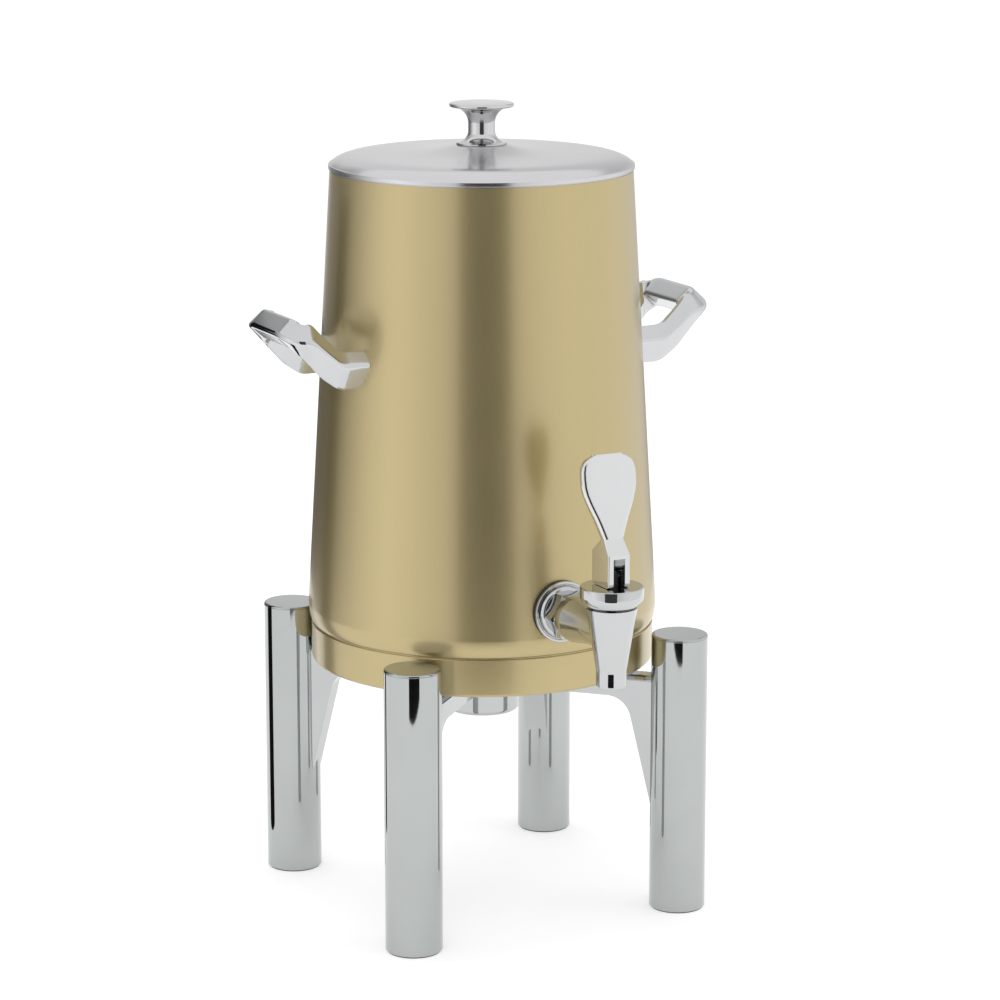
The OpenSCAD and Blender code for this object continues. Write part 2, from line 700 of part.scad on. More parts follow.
module faucet_gasket() {
    color("dimgray") difference() {
        on_shank(wall_d - gasket_back) cylinder(h = gasket_back + gasket_t, r = escutcheon_d / 2 - fit_gap);
        shell_core($fn = 360);
        on_shank(wall_d - 2 * gasket_back) cylinder(h = 3 * gasket_back, r = shank_r + hole_gap);
    }
}
// A dished washer: a bead round its edge, a groove and a dome that rises to the nut
module faucet_escutcheon() {
    radius = escutcheon_d / 2;
    dome_foot_r = radius - bead_ring_w - groove_w;
    dome_w = dome_foot_r - dome_top_r;
    color("silver") on_shank(escutcheon_d0) rotate_extrude() polygon(concat(
        [[shank_r + hole_gap, 0], [radius, 0], [radius, bead_ring_h - bead_ring_edge],
        [radius - bead_ring_edge, bead_ring_h], [radius - bead_ring_w + bead_ring_edge, bead_ring_h],
        [radius - bead_ring_w, groove_h]],
        [for (i = [0:5]) let (a = 90 * i / 5)
            [dome_top_r + dome_w * cos(a), groove_h + (escutcheon_t - groove_h) * sin(a)]],
        [[shank_r + hole_gap, escutcheon_t]]));
}
module faucet_nut() {
    color("silver") on_shank(nut_d0) hex_nut(nut_flats, nut_l, shank_r + thread_gap, nut_chamfer);
}
module faucet_shank() {
    color("lightgray") on_shank(shank_start) ring(shank_r, shank_bore / 2, shank_end - shank_start);
}
module shank_spacer() {
    color("gray") difference() {
        intersection() {
            on_shank(liner_in_d) ring(spacer_r, shank_r + hole_gap, wall_d - liner_in_d);
            cone_core(-shell_wall);
        }
        cone_core(-shell_wall - foam_t);
    }
}
module liner_gasket() {
    start = liner_in_d - liner_gasket_t;
    color("white") difference() {
        intersection() {
            on_shank(start) cylinder(h = liner_gasket_t + cut, r = locknut_flats / 2);
            liner_core($fn = 360);
        }
        on_shank(start - cut) cylinder(h = liner_gasket_t + 3 * cut, r = shank_r + hole_gap);
    }
}
module liner_locknut() {
    color("silver") on_shank(liner_in_d - liner_gasket_t - locknut_l)
        hex_nut(locknut_flats, locknut_l, shank_r + thread_gap, nut_chamfer);
}

// Faucet body: heights are measured from the shank's axis
outlet_z = faucet_z - spout_drop;
spout_l = 10.3;
faucet_body_up = 18.3;
body_top_z = faucet_z + faucet_body_up;
neck_r = 14.2;
neck_h = 9;
seat_drop = 9;
seat_z = faucet_z - seat_drop;
chamber_r = chamber_d / 2;
inlet_r = shank_bore / 2;
bonnet_z = body_top_z;
bonnet_top_z = body_top_z + bonnet_h;
bonnet_edge_r = 5;
bonnet_top_edge = 0.8;
bonnet_roof = 2.4;
outlet_chamfer = 0.6;

module faucet_body() {
    body_r = faucet_body_d / 2;
    color("silver") difference() {
        union() {
            translate([0, -spout_s, 0]) rotate_extrude() polygon([[0, outlet_z],
                [spout_d / 2 - outlet_chamfer, outlet_z], [spout_d / 2, outlet_z + outlet_chamfer],
                [spout_d / 2, outlet_z + spout_l], [body_r, body_top_z], [neck_r, body_top_z],
                [neck_r, body_top_z + neck_h], [0, body_top_z + neck_h]]);
            on_shank(boss_d0) rotate_extrude() polygon([[0, 0], [boss_r - nut_chamfer, 0],
                [boss_r, nut_chamfer], [boss_r, boss_l], [boss_neck_r, boss_l + boss_taper_l],
                [boss_neck_r, spout_s - boss_d0], [0, spout_s - boss_d0]]);
        }
        translate([0, -spout_s, outlet_z - cut])
            cylinder(h = seat_z - outlet_z + 2 * cut, r = spout_bore / 2);
        translate([0, -spout_s, seat_z]) cylinder(h = body_top_z + neck_h - seat_z + cut, r = chamber_r);
        on_shank(boss_d0 - cut) cylinder(h = shank_end - boss_d0 + cut + fit_gap, r = shank_r + thread_gap);
        on_shank(boss_d0) cylinder(h = spout_s - boss_d0, r = inlet_r);
    }
}
module faucet_bonnet() {
    bonnet_r = bonnet_d / 2;
    thread_r = neck_r + thread_gap;
    roof_z = bonnet_top_z - bonnet_roof;
    color("silver") translate([0, -spout_s, 0]) rotate_extrude() polygon(concat(
        [[thread_r, bonnet_z]],
        arc(bonnet_r - bonnet_edge_r, bonnet_z + bonnet_edge_r, bonnet_edge_r, -70, 0, 6),
        [[bonnet_r, bonnet_top_z - bonnet_top_edge], [bonnet_r - bonnet_top_edge, bonnet_top_z],
        [stem_r + stem_gap, bonnet_top_z], [stem_r + stem_gap, roof_z], [chamber_r, roof_z],
        [chamber_r, body_top_z + neck_h + fit_gap], [thread_r, body_top_z + neck_h + fit_gap]]));
}

// Valve: the lever lifts the stem, and the spring presses the seat cup back onto its seat
stem_r = 3.2;
stem_gap = 0.08;
tongue_w = 6.4;
tongue_l = 5;
tongue_up = 3;
tongue_clear = 0.1;
pin_h = 6;
lever_gap = 0.3;
cup_h = 5;
cup_floor = 2;
cup_gap = 1.2;
cup_r = chamber_r - cup_gap;
collar_h = 1.6;
collar_r = 6.8;
collar_up = 1.5;
collar_z = faucet_z + inlet_r + collar_up;
gland_t = 1.6;
gland_z = bonnet_top_z - bonnet_roof - gland_t;
stem_low_z = seat_z + fit_gap + cup_floor;
pin_z = bonnet_top_z + lever_gap + pin_h;

module valve_stem() {
    color("lightgray") translate([0, -spout_s, 0]) difference() {
        union() {
            translate([0, 0, stem_low_z]) cylinder(h = bonnet_top_z + lever_gap - stem_low_z, r = stem_r);
            translate([0, 0, collar_z]) cylinder(h = collar_h, r = collar_r);
            translate([-tongue_w / 2, -tongue_l / 2, bonnet_top_z + tongue_clear])
                cube([tongue_w, tongue_l, lever_gap - tongue_clear + pin_h + tongue_up]);
        }
        translate([-tongue_w, 0, pin_z]) rotate([0, 90, 0])
            cylinder(h = 2 * tongue_w, r = pin_d / 2 + thread_gap);
    }
}
module seat_cup() {
    color("white") translate([0, -spout_s, seat_z + fit_gap]) rotate_extrude() polygon([[0, 0],
        [cup_r, 0], [cup_r, cup_h], [stem_r + thread_gap, cup_h], [stem_r + thread_gap, cup_floor],
        [0, cup_floor]]);
}
module stem_gland() {
    color("white") translate([0, -spout_s, gland_z])
        ring(chamber_r - fit_gap, stem_r + stem_gap, gland_t);
}
wire_r = 0.7;
coil_r = 5.3;
coil_turns = 7;
coil_steps = 12;
coil_sides = 6;
coil_low_z = collar_z + collar_h + fit_gap + wire_r;
coil_high_z = gland_z - fit_gap - wire_r;
module valve_spring() {
    rings = [for (i = [0:coil_turns * coil_steps]) let (
            a = 360 * i / coil_steps,
            z = coil_low_z + (coil_high_z - coil_low_z) * i / (coil_turns * coil_steps))
        [for (j = [0:coil_sides - 1]) let (b = -360 * j / coil_sides)
            [(coil_r + wire_r * cos(b)) * cos(a), (coil_r + wire_r * cos(b)) * sin(a), z + wire_r * sin(b)]]];
    color("gray") translate([0, -spout_s, 0]) loft(rings);
}

// Lever: a forked block with rounded heels, a flare and a paddle. Rows hold shares of the paddle's height,
// width and thickness
paddle_shares = [[0, 0.36, 1], [0.07, 0.43, 1], [0.16, 0.52, 1], [0.25, 0.62, 0.98], [0.345, 0.74, 0.95],
    [0.44, 0.85, 0.92], [0.53, 0.94, 0.9], [0.62, 0.99, 0.88], [0.72, 1, 0.86], [0.8, 0.99, 0.84],
    [0.86, 0.95, 0.8], [0.91, 0.86, 0.74], [0.95, 0.73, 0.66], [0.98, 0.54, 0.54], [1, 0.3, 0.4]];
paddle_corner_share = 0.45;
paddle_points = 20;
heel_r = 3;
lever_back = 1.5;
flare_h = 9;
slot_gap = 0.9;
slot_back = 4.4;
slot_top = 2.6;
pin_inset = 0.6;
waist_slab = 0.4;
lever_low_z = bonnet_top_z + lever_gap;
waist_z = lever_low_z + lever_h + flare_h;
function power(v, e) = sign(v) * pow(abs(v), e);

module lever_pin() {
    color("gray") translate([pin_inset - lever_w / 2, -spout_s, pin_z]) rotate([0, 90, 0])
        cylinder(h = lever_w - 2 * pin_inset, r = pin_d / 2);
}
module faucet_lever() {
    front = -spout_s + lever_back - lever_l / 2;
    back = front + lever_l;
    waist_w = paddle_w * paddle_shares[0][1];
    color("whitesmoke") difference() {
        union() {
            translate([-lever_w / 2, 0, 0]) rotate([90, 0, 90]) linear_extrude(lever_w) polygon(concat(
                arc(front + heel_r, lever_low_z + heel_r, heel_r, 180, 270, 5),
                arc(back - heel_r, lever_low_z + heel_r, heel_r, 270, 360, 5),
                [[back, lever_low_z + lever_h], [front, lever_low_z + lever_h]]));
            hull() {
                translate([-lever_w / 2, front, lever_low_z + lever_h - waist_slab])
                    cube([lever_w, lever_l, waist_slab]);
                translate([-waist_w / 2, -spout_s - paddle_t / 2, waist_z])
                    cube([waist_w, paddle_t, waist_slab]);
            }
            translate([0, -spout_s, waist_z]) rotate([-paddle_lean, 0, 0]) loft(
                [for (s = paddle_shares) [for (j = [0:paddle_points - 1]) let (a = 360 * j / paddle_points)
                    [-paddle_w / 2 * s[1] * power(cos(a), paddle_corner_share),
                    paddle_t / 2 * s[2] * power(sin(a), paddle_corner_share), paddle_h * s[0]]]]);
        }
        translate([-tongue_w / 2 - slot_gap, front - cut, lever_low_z - cut])
            cube([tongue_w + 2 * slot_gap, cut - lever_back + lever_l / 2 + slot_back, cut + lever_h - slot_top]);
        translate([pin_inset - lever_w / 2, -spout_s, pin_z]) rotate([0, 90, 0])
            cylinder(h = lever_w, r = pin_d / 2 + thread_gap);
    }
}

leg_front_left();
leg_front_right();
leg_rear_left();
leg_rear_right();
leg_caps();
foot_pads();
arm_front_left();
arm_front_right();
arm_rear_left();
arm_rear_right();
leg_screws();
stand_hub();
arm_screws();
hub_bolt();
hub_washer();
hub_cap();
rest_pads();
base_band();
base_plate();
base_foam();
outer_shell();
wall_foam();
inner_liner();
handle_left();
handle_right();
handle_plates();
handle_screws();
lid_cover();
lid_pan();
lid_foam();
lid_knob();
knob_screw();
knob_washer();
faucet_gasket();
faucet_escutcheon();
faucet_nut();
faucet_shank();
shank_spacer();
liner_gasket();
liner_locknut();
faucet_body();
faucet_bonnet();
stem_gland();
valve_stem();
seat_cup();
valve_spring();
faucet_lever();
lever_pin();
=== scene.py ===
# Insulated coffee urn: finishes, floor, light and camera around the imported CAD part.
# In the dictionaries sizes are millimetres, angles are degrees and pattern scales are per metre.
import bpy, bmesh, json, math
from mathutils import Matrix, Vector


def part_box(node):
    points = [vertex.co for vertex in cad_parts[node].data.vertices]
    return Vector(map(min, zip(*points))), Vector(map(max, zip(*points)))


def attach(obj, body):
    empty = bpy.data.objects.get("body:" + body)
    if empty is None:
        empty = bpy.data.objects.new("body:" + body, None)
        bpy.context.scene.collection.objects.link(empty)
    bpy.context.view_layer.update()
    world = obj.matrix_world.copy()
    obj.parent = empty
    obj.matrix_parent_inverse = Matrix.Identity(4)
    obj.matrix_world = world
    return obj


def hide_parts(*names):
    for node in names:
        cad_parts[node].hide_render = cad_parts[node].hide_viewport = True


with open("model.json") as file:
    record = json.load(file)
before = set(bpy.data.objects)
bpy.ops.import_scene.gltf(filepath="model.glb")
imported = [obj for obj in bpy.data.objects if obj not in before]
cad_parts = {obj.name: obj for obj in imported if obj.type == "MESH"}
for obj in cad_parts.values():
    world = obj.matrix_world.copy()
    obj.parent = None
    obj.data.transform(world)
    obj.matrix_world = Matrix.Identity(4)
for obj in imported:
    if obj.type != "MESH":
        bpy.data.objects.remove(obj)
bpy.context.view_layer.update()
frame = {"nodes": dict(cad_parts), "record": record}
nodes = frame["nodes"]
mm = 0.001
print("urn: frame loaded,", len(nodes), "CAD nodes")


# Shader helpers

# An input is a number, a colour, or another node's output, which is linked
def addNode(tree, kind, inputs=None, **settings):
    made = tree.nodes.new(kind)
    for name, value in settings.items():
        setattr(made, name, value)
    for name, value in (inputs or {}).items():
        if isinstance(value, bpy.types.NodeSocket):
            tree.links.new(value, made.inputs[name])
        else:
            made.inputs[name].default_value = value
    return made


def addMath(tree, operation, first, second):
    return addNode(tree, "ShaderNodeMath", {0: first, 1: second}, operation=operation).outputs[0]


def emptyTree(owner):
    owner.use_nodes = True
    owner.node_tree.nodes.clear()
    return owner.node_tree


def startGroup(name, inputs, outputs):
    tree = bpy.data.node_groups.new(name, "ShaderNodeTree")
    for socket, kind, value in inputs:
        made = tree.interface.new_socket(socket, in_out="INPUT", socket_type=kind)
        if value is not None:
            made.default_value = value
    for socket in outputs:
        tree.interface.new_socket(socket, in_out="OUTPUT", socket_type="NodeSocketFloat")
    return tree, tree.nodes.new("NodeGroupInput").outputs, tree.nodes.new("NodeGroupOutput")


# Scales of the broad rings and the specks, as shares of their group's own scale
shareOf = {"rings": 1.0, "bands": 0.09, "specks": 40.0}


# Straight brush lines: noise that is fine across the grain and long along it
def brushGroup():
    tree, given, result = startGroup(
        "brushLines",
        [("Vector", "NodeSocketVector", None), ("Fine", "NodeSocketFloat", 1500.0),
         ("Broad", "NodeSocketFloat", 220.0), ("Along", "NodeSocketFloat", 6.0)],
        ["Lines", "Bands"])
    for socket, scale, detail in (("Lines", "Fine", 3.0), ("Bands", "Broad", 2.0)):
        stretch = addNode(tree, "ShaderNodeCombineXYZ", {0: given[scale], 1: given[scale], 2: given["Along"]})
        place = addNode(tree, "ShaderNodeVectorMath", {0: given["Vector"], 1: stretch.outputs[0]},
                        operation="MULTIPLY")
        noise = addNode(tree, "ShaderNodeTexNoise",
                        {"Vector": place.outputs[0], "Scale": 1.0, "Detail": detail, "Roughness": 0.6})
        tree.links.new(noise.outputs["Fac"], result.inputs[socket])
    return tree


# Rings left by spinning: noise that changes only with the distance from the axis
def spunGroup():
    tree, given, result = startGroup(
        "spunRings", [("Vector", "NodeSocketVector", None), ("Fine", "NodeSocketFloat", 2600.0)],
        ["Rings", "Bands"])
    flat = addNode(tree, "ShaderNodeVectorMath", {0: given["Vector"], 1: (1, 1, 0)}, operation="MULTIPLY")
    radius = addNode(tree, "ShaderNodeVectorMath", {0: flat.outputs[0]}, operation="LENGTH")
    for socket, share in (("Rings", shareOf["rings"]), ("Bands", shareOf["bands"])):
        scale = addMath(tree, "MULTIPLY", given["Fine"], share)
        noise = addNode(tree, "ShaderNodeTexNoise", {"W": radius.outputs["Value"], "Scale": scale},
                        noise_dimensions="1D")
        tree.links.new(noise.outputs["Fac"], result.inputs[socket])
    return tree


# Handling marks: soft clouds, broken up by finer specks
def smudgeGroup():
    tree, given, result = startGroup(
        "handlingMarks", [("Vector", "NodeSocketVector", None), ("Size", "NodeSocketFloat", 18.0)],
        ["Clouds", "Specks"])
    clouds = addNode(tree, "ShaderNodeTexNoise", {"Vector": given["Vector"], "Scale": given["Size"],
                                                  "Detail": 4.0, "Roughness": 0.55, "Distortion": 0.4})
    soft = addNode(tree, "ShaderNodeMapRange", {"Value": clouds.outputs["Fac"], "From Min": 0.35,
                                                "From Max": 0.72})
    fine = addMath(tree, "MULTIPLY", given["Size"], shareOf["specks"])
    specks = addNode(tree, "ShaderNodeTexNoise", {"Vector": given["Vector"], "Scale": fine, "Detail": 2.0})
    tree.links.new(soft.outputs["Result"], result.inputs["Clouds"])
    tree.links.new(specks.outputs["Fac"], result.inputs["Specks"])
    return tree


groups = {"brush": brushGroup(), "spun": spunGroup(), "smudge": smudgeGroup()}


def useGroup(tree, name, **given):
    return addNode(tree, "ShaderNodeGroup", given, node_tree=groups[name]).outputs


def startFinish(name, fixed):
    material = bpy.data.materials.new(name)
    tree = emptyTree(material)
    shader = addNode(tree, "ShaderNodeBsdfPrincipled", fixed)
    addNode(tree, "ShaderNodeOutputMaterial", {"Surface": shader.outputs[0]})
    return material, tree, shader, tree.nodes.new("ShaderNodeTexCoord").outputs["Object"]


def asColour(value):
    return value if isinstance(value, bpy.types.NodeSocket) else (*value, 1)


# Runs a mask between two colours. A Mix node's colour sockets go by number.
def mixColours(tree, mask, first, second):
    mix = addNode(tree, "ShaderNodeMix", {0: mask, 6: asColour(first), 7: asColour(second)}, data_type="RGBA")
    return mix.outputs[2]


# Runs a mask between two numbers
def spread(tree, mask, low, high):
    between = addNode(tree, "ShaderNodeMapRange", {"Value": mask, "To Min": low, "To Max": high})
    return between.outputs["Result"]


def addBump(tree, shader, height, depth):
    bump = addNode(tree, "ShaderNodeBump", {"Height": height, "Distance": depth * mm})
    tree.links.new(bump.outputs[0], shader.inputs["Normal"])


# Two tones along the lines, evened out in patches, with a gloss that the lines and the marks change
def addLines(tree, shader, lines, patches, patchColour, marks, look):
    tone = mixColours(tree, lines, look["worn"], look["colour"])
    tone = mixColours(tree, spread(tree, patches, 0.0, look["patches"]), tone, patchColour)
    tree.links.new(tone, shader.inputs["Base Color"])
    rough = addMath(tree, "ADD", spread(tree, lines, *look["roughness"]),
                    spread(tree, marks, 0.0, look["marksRoughness"]))
    tree.links.new(rough, shader.inputs["Roughness"])
    addBump(tree, shader, lines, look["grain"])


# Finishes

goldLook = {"colour": (0.53, 0.435, 0.225), "worn": (0.49, 0.395, 0.195), "roughness": (0.26, 0.33),
            "metallic": 0.82, "coat": 0.45, "coatIor": 1.6, "coatRoughness": 0.12,
            "fine": 1700.0, "broad": 150.0, "along": 5.0, "patches": 0.5, "grain": 0.004,
            "marksSize": 9.0, "marksRoughness": 0.025}


# Gold-coloured steel, brushed upwards, under a thin clear coat
def goldSteel():
    look = goldLook
    material, tree, shader, place = startFinish("goldSteel", {
        "Metallic": look["metallic"], "Coat Weight": look["coat"], "Coat IOR": look["coatIor"],
        "Coat Roughness": look["coatRoughness"]})
    brush = useGroup(tree, "brush", Vector=place, Fine=look["fine"], Broad=look["broad"], Along=look["along"])
    marks = useGroup(tree, "smudge", Vector=place, Size=look["marksSize"])
    addLines(tree, shader, brush["Lines"], brush["Bands"], look["colour"], marks["Clouds"], look)
    return material


satinLook = {"colour": (0.66, 0.65, 0.665), "worn": (0.59, 0.58, 0.595), "roughness": (0.15, 0.22),
             "fine": 2600.0, "patches": 0.6, "grain": 0.005, "marksSize": 14.0, "marksRoughness": 0.03}


# Satin steel, spun round the upright axis
def satinSteel():
    look = satinLook
    material, tree, shader, place = startFinish("satinSteel", {"Metallic": 1.0})
    spun = useGroup(tree, "spun", Vector=place, Fine=look["fine"])
    marks = useGroup(tree, "smudge", Vector=place, Size=look["marksSize"])
    addLines(tree, shader, spun["Rings"], spun["Bands"], look["colour"], marks["Clouds"], look)
    return material


plainLook = {"broad": 130.0, "along": 8.0, "worn": 0.88, "linesRoughness": 0.08, "patches": 0.5,
             "grain": 0.01, "marksSize": 16.0, "marksRoughness": 0.06}


# Plain metals: fine lines along one way, with clouded stains
def plainMetal(name, colour, roughness=0.3, fine=1100.0):
    worn = tuple(plainLook["worn"] * part for part in colour)
    look = dict(plainLook, colour=colour, worn=worn,
                roughness=(roughness, roughness + plainLook["linesRoughness"]))
    material, tree, shader, place = startFinish(name, {"Metallic": 1.0})
    brush = useGroup(tree, "brush", Vector=place, Fine=fine, Broad=look["broad"], Along=look["along"])
    marks = useGroup(tree, "smudge", Vector=place, Size=look["marksSize"])
    addLines(tree, shader, brush["Lines"], marks["Clouds"], worn, marks["Clouds"], look)
    return material


chromeLook = {"marksSize": 20.0, "dulled": 0.96, "marksRoughness": 0.03, "specksRoughness": 0.012}


# Chrome plate: clean and bright, with faint handling marks
def chromePlate(name, colour, roughness=0.045):
    look = chromeLook
    material, tree, shader, place = startFinish(name, {"Metallic": 1.0})
    marks = useGroup(tree, "smudge", Vector=place, Size=look["marksSize"])
    dulled = tuple(look["dulled"] * part for part in colour)
    tree.links.new(mixColours(tree, marks["Clouds"], colour, dulled), shader.inputs["Base Color"])
    rough = addMath(tree, "ADD",
                    spread(tree, marks["Clouds"], roughness, roughness + look["marksRoughness"]),
                    spread(tree, marks["Specks"], 0.0, look["specksRoughness"]))
    tree.links.new(rough, shader.inputs["Roughness"])
    return material


rubberLook = {"marksSize": 25.0, "paler": 1.25, "lift": 0.01, "patches": 0.6, "marksRoughness": 0.12,
              "poreDetail": 3.0, "grain": 0.04}


# Rubber, nylon and silicone: a moulded surface with fine pores
def mouldedRubber(name, colour, roughness, pores=900.0):
    look = rubberLook
    material, tree, shader, place = startFinish(name, {"Metallic": 0.0})
    marks = useGroup(tree, "smudge", Vector=place, Size=look["marksSize"])
    grain = addNode(tree, "ShaderNodeTexNoise",
                    {"Vector": place, "Scale": pores, "Detail": look["poreDetail"]})
    paler = tuple(min(1.0, part * look["paler"] + look["lift"]) for part in colour)
    patches = spread(tree, marks["Clouds"], 0.0, look["patches"])
    tree.links.new(mixColours(tree, patches, colour, paler), shader.inputs["Base Color"])
    tree.links.new(spread(tree, marks["Clouds"], roughness, roughness + look["marksRoughness"]),
                   shader.inputs["Roughness"])
    addBump(tree, shader, grain.outputs["Fac"], look["grain"])
    return material


foamLook = {"colour": (0.83, 0.74, 0.48), "gaps": (0.62, 0.52, 0.30), "stain": (0.78, 0.66, 0.40),
            "roughness": 0.9, "cells": 700.0, "patchSize": 30.0, "patches": 0.5, "grain": 0.4}


# Poured foam: rounded cells, stained in patches
def pouredFoam():
    look = foamLook
    material, tree, shader, place = startFinish(
        "pouredFoam", {"Metallic": 0.0, "Roughness": look["roughness"]})
    cells = addNode(tree, "ShaderNodeTexVoronoi", {"Vector": place, "Scale": look["cells"]})
    stains = useGroup(tree, "smudge", Vector=place, Size=look["patchSize"])
    tone = mixColours(tree, cells.outputs["Distance"], look["colour"], look["gaps"])
    patches = spread(tree, stains["Clouds"], 0.0, look["patches"])
    tree.links.new(mixColours(tree, patches, tone, look["stain"]), shader.inputs["Base Color"])
    addBump(tree, shader, cells.outputs["Distance"], look["grain"])
    return material


finishes = {
    "gold_steel": goldSteel(),
    "satin_steel": satinSteel(),
    "plain_steel": plainMetal("plainSteel", (0.60, 0.60, 0.60)),
    "spring_steel": plainMetal("springSteel", (0.50, 0.50, 0.51), roughness=0.25, fine=1600.0),
    "plated_screws": plainMetal("platedScrews", (0.55, 0.56, 0.57), roughness=0.27, fine=900.0),
    "chromed_legs": chromePlate("chromedLegs", (0.455, 0.475, 0.47), roughness=0.022),
    "chromed_castings": chromePlate("chromedCastings", (0.50, 0.515, 0.515), roughness=0.06),
    "chromed_handles": chromePlate("chromedHandles", (0.60, 0.61, 0.62), roughness=0.06),
    "chromed_knob": chromePlate("chromedKnob", (0.62, 0.62, 0.63), roughness=0.05),
    "chromed_faucet": chromePlate("chromedFaucet", (0.56, 0.57, 0.575)),
    "chromed_lever": chromePlate("chromedLever", (0.70, 0.705, 0.71), roughness=0.08),
    "black_rubber": mouldedRubber("blackRubber", (0.022, 0.022, 0.023), 0.62),
    "black_nylon": mouldedRubber("blackNylon", (0.012, 0.012, 0.012), 0.42),
    "pale_silicone": mouldedRubber("paleSilicone", (0.80, 0.79, 0.76), 0.45, pores=500.0),
    "foam": pouredFoam(),
}
slotOf = {part["node"]: part["material_slot"] for part in frame["record"]["subparts"]}
for name, cadNode in nodes.items():
    for materialSlot in cadNode.material_slots:
        materialSlot.material = finishes[slotOf[name]]
    if not cadNode.material_slots:
        cadNode.data.materials.append(finishes[slotOf[name]])
print("urn: finishes made")


# Mesh helpers

# How close counts as the same point, height or radius
near = {"weld": 0.001, "copyWeld": 0.002, "height": 0.01, "radius": 0.02, "below": 0.1}


def metres(point):
    return Vector([part * mm for part in point])


def isNear(value, target, reach=near["height"]):
    return abs(value - target * mm) < reach * mm


def faceOut(bm):
    bmesh.ops.remove_doubles(bm, verts=bm.verts, dist=near["weld"] * mm)
    bmesh.ops.recalc_face_normals(bm, faces=bm.faces)


def roundOff(bm, edges, width, segments=3):
    if edges:
        bmesh.ops.bevel(bm, geom=edges, offset=width * mm, offset_type="OFFSET", affect="EDGES",
                        segments=segments, profile=0.5, material=-1, clamp_overlap=True)


def sharpEdges(bm, angle, where):
    return [edge for edge in bm.edges if len(edge.link_faces) == 2
            and edge.calc_face_angle() > math.radians(angle) and where(edge)]


# Turns an outline of (radius, height) points round the upright axis. A third number rounds that corner.
def lathe(outline, steps, closed=True):
    bm = bmesh.new()
    points = [bm.verts.new((point[0] * mm, 0, point[1] * mm)) for point in outline]
    lines = [bm.edges.new(pair) for pair in zip(points, points[1:])]
    if closed:
        lines.append(bm.edges.new((points[-1], points[0])))
    bmesh.ops.spin(bm, geom=points + lines, cent=(0, 0, 0), axis=(0, 0, 1), angle=2 * math.pi,
                   steps=steps, use_merge=True)
    faceOut(bm)
    for radius, height, width in [point for point in outline if len(point) == 3]:
        ring = [edge for edge in bm.edges if all(
            isNear(vert.co.z, height) and isNear(vert.co.xy.length, radius, near["radius"])
            for vert in edge.verts)]
        roundOff(bm, ring, width, segments=4)
    return bm


def arcPoints(centreR, centreZ, radius, start, end, count):
    return [(centreR + radius * math.cos(math.radians(start + (end - start) * i / count)),
             centreZ + radius * math.sin(math.radians(start + (end - start) * i / count)))
            for i in range(count + 1)]


# The angles of a quarter turn, from zero on, ready for sine and cosine
def quarterTurn(count):
    return [math.radians(90 * i / count) for i in range(count + 1)]


# A point on a softened corner: it leaves one end, bends past the corner and reaches the other end
def softCorner(start, corner, end, t):
    return start * (1 - t) ** 2 + corner * 2 * t * (1 - t) + end * t ** 2


def onlyVerts(geom):
    return [part for part in geom if isinstance(part, bmesh.types.BMVert)]


# Pushes a flat outline out into a closed block
def pushOut(outline, push):
    bm = bmesh.new()
    side = bm.faces.new([bm.verts.new(metres(point)) for point in outline])
    grown = bmesh.ops.extrude_face_region(bm, geom=[side])["geom"]
    bmesh.ops.translate(bm, verts=onlyVerts(grown), vec=metres(push))
    faceOut(bm)
    return bm


# Moves a loop of vertices on to a ring of points
def placeLoop(loop, ring):
    for vert, point in zip(loop, ring):
        vert.co = Vector(point) * mm


# Draws a tube through rings of equal counts and closes it. The second result is its last face.
def loft(rings):
    bm = bmesh.new()
    loop = bmesh.ops.create_circle(bm, cap_ends=True, radius=mm, segments=len(rings[0]))["verts"]
    placeLoop(loop, rings[0])
    edges = list(bm.edges)
    for ring in rings[1:]:
        grown = bmesh.ops.extrude_edge_only(bm, edges=edges)["geom"]
        edges = [part for part in grown if isinstance(part, bmesh.types.BMEdge)]
        fresh = {vert for edge in edges for vert in edge.verts}
        follower = {}
        for vert in fresh:
            others = [edge.other_vert(vert) for edge in vert.link_edges]
            follower[next(other for other in others if other not in fresh)] = vert
        loop = [follower[vert] for vert in loop]
        placeLoop(loop, ring)
    return bm, bm.faces.new(loop)


# Joins or cuts one closed mesh with another
def carve(bm, tool, operation):
    pair = []
    for made in (bm, tool):
        mesh = bpy.data.meshes.new("carving")
        made.to_mesh(mesh)
        made.free()
        pair.append(bpy.data.objects.new("carving", mesh))
        bpy.context.scene.collection.objects.link(pair[-1])
    change = pair[0].modifiers.new("carve", "BOOLEAN")
    change.object, change.operation, change.solver = pair[1], operation, "EXACT"
    result = bmesh.new()
    bpy.context.view_layer.update()
    shape = pair[0].evaluated_get(bpy.context.evaluated_depsgraph_get())
    result.from_mesh(shape.to_mesh())
    shape.to_mesh_clear()
    for piece in pair:
        mesh = piece.data
        bpy.data.objects.remove(piece)
        bpy.data.meshes.remove(mesh)
    return result


def turn(bm, angle, axis):
    bmesh.ops.rotate(bm, verts=bm.verts, cent=(0, 0, 0), matrix=Matrix.Rotation(math.radians(angle), 3, axis))


def shift(bm, x, y, z):
    bmesh.ops.translate(bm, verts=bm.verts, vec=(x * mm, y * mm, z * mm))


def merge(target, source):
    piece = bpy.data.meshes.new("merging")
    source.to_mesh(piece)
    source.free()
    target.from_mesh(piece)
    bpy.data.meshes.remove(piece)


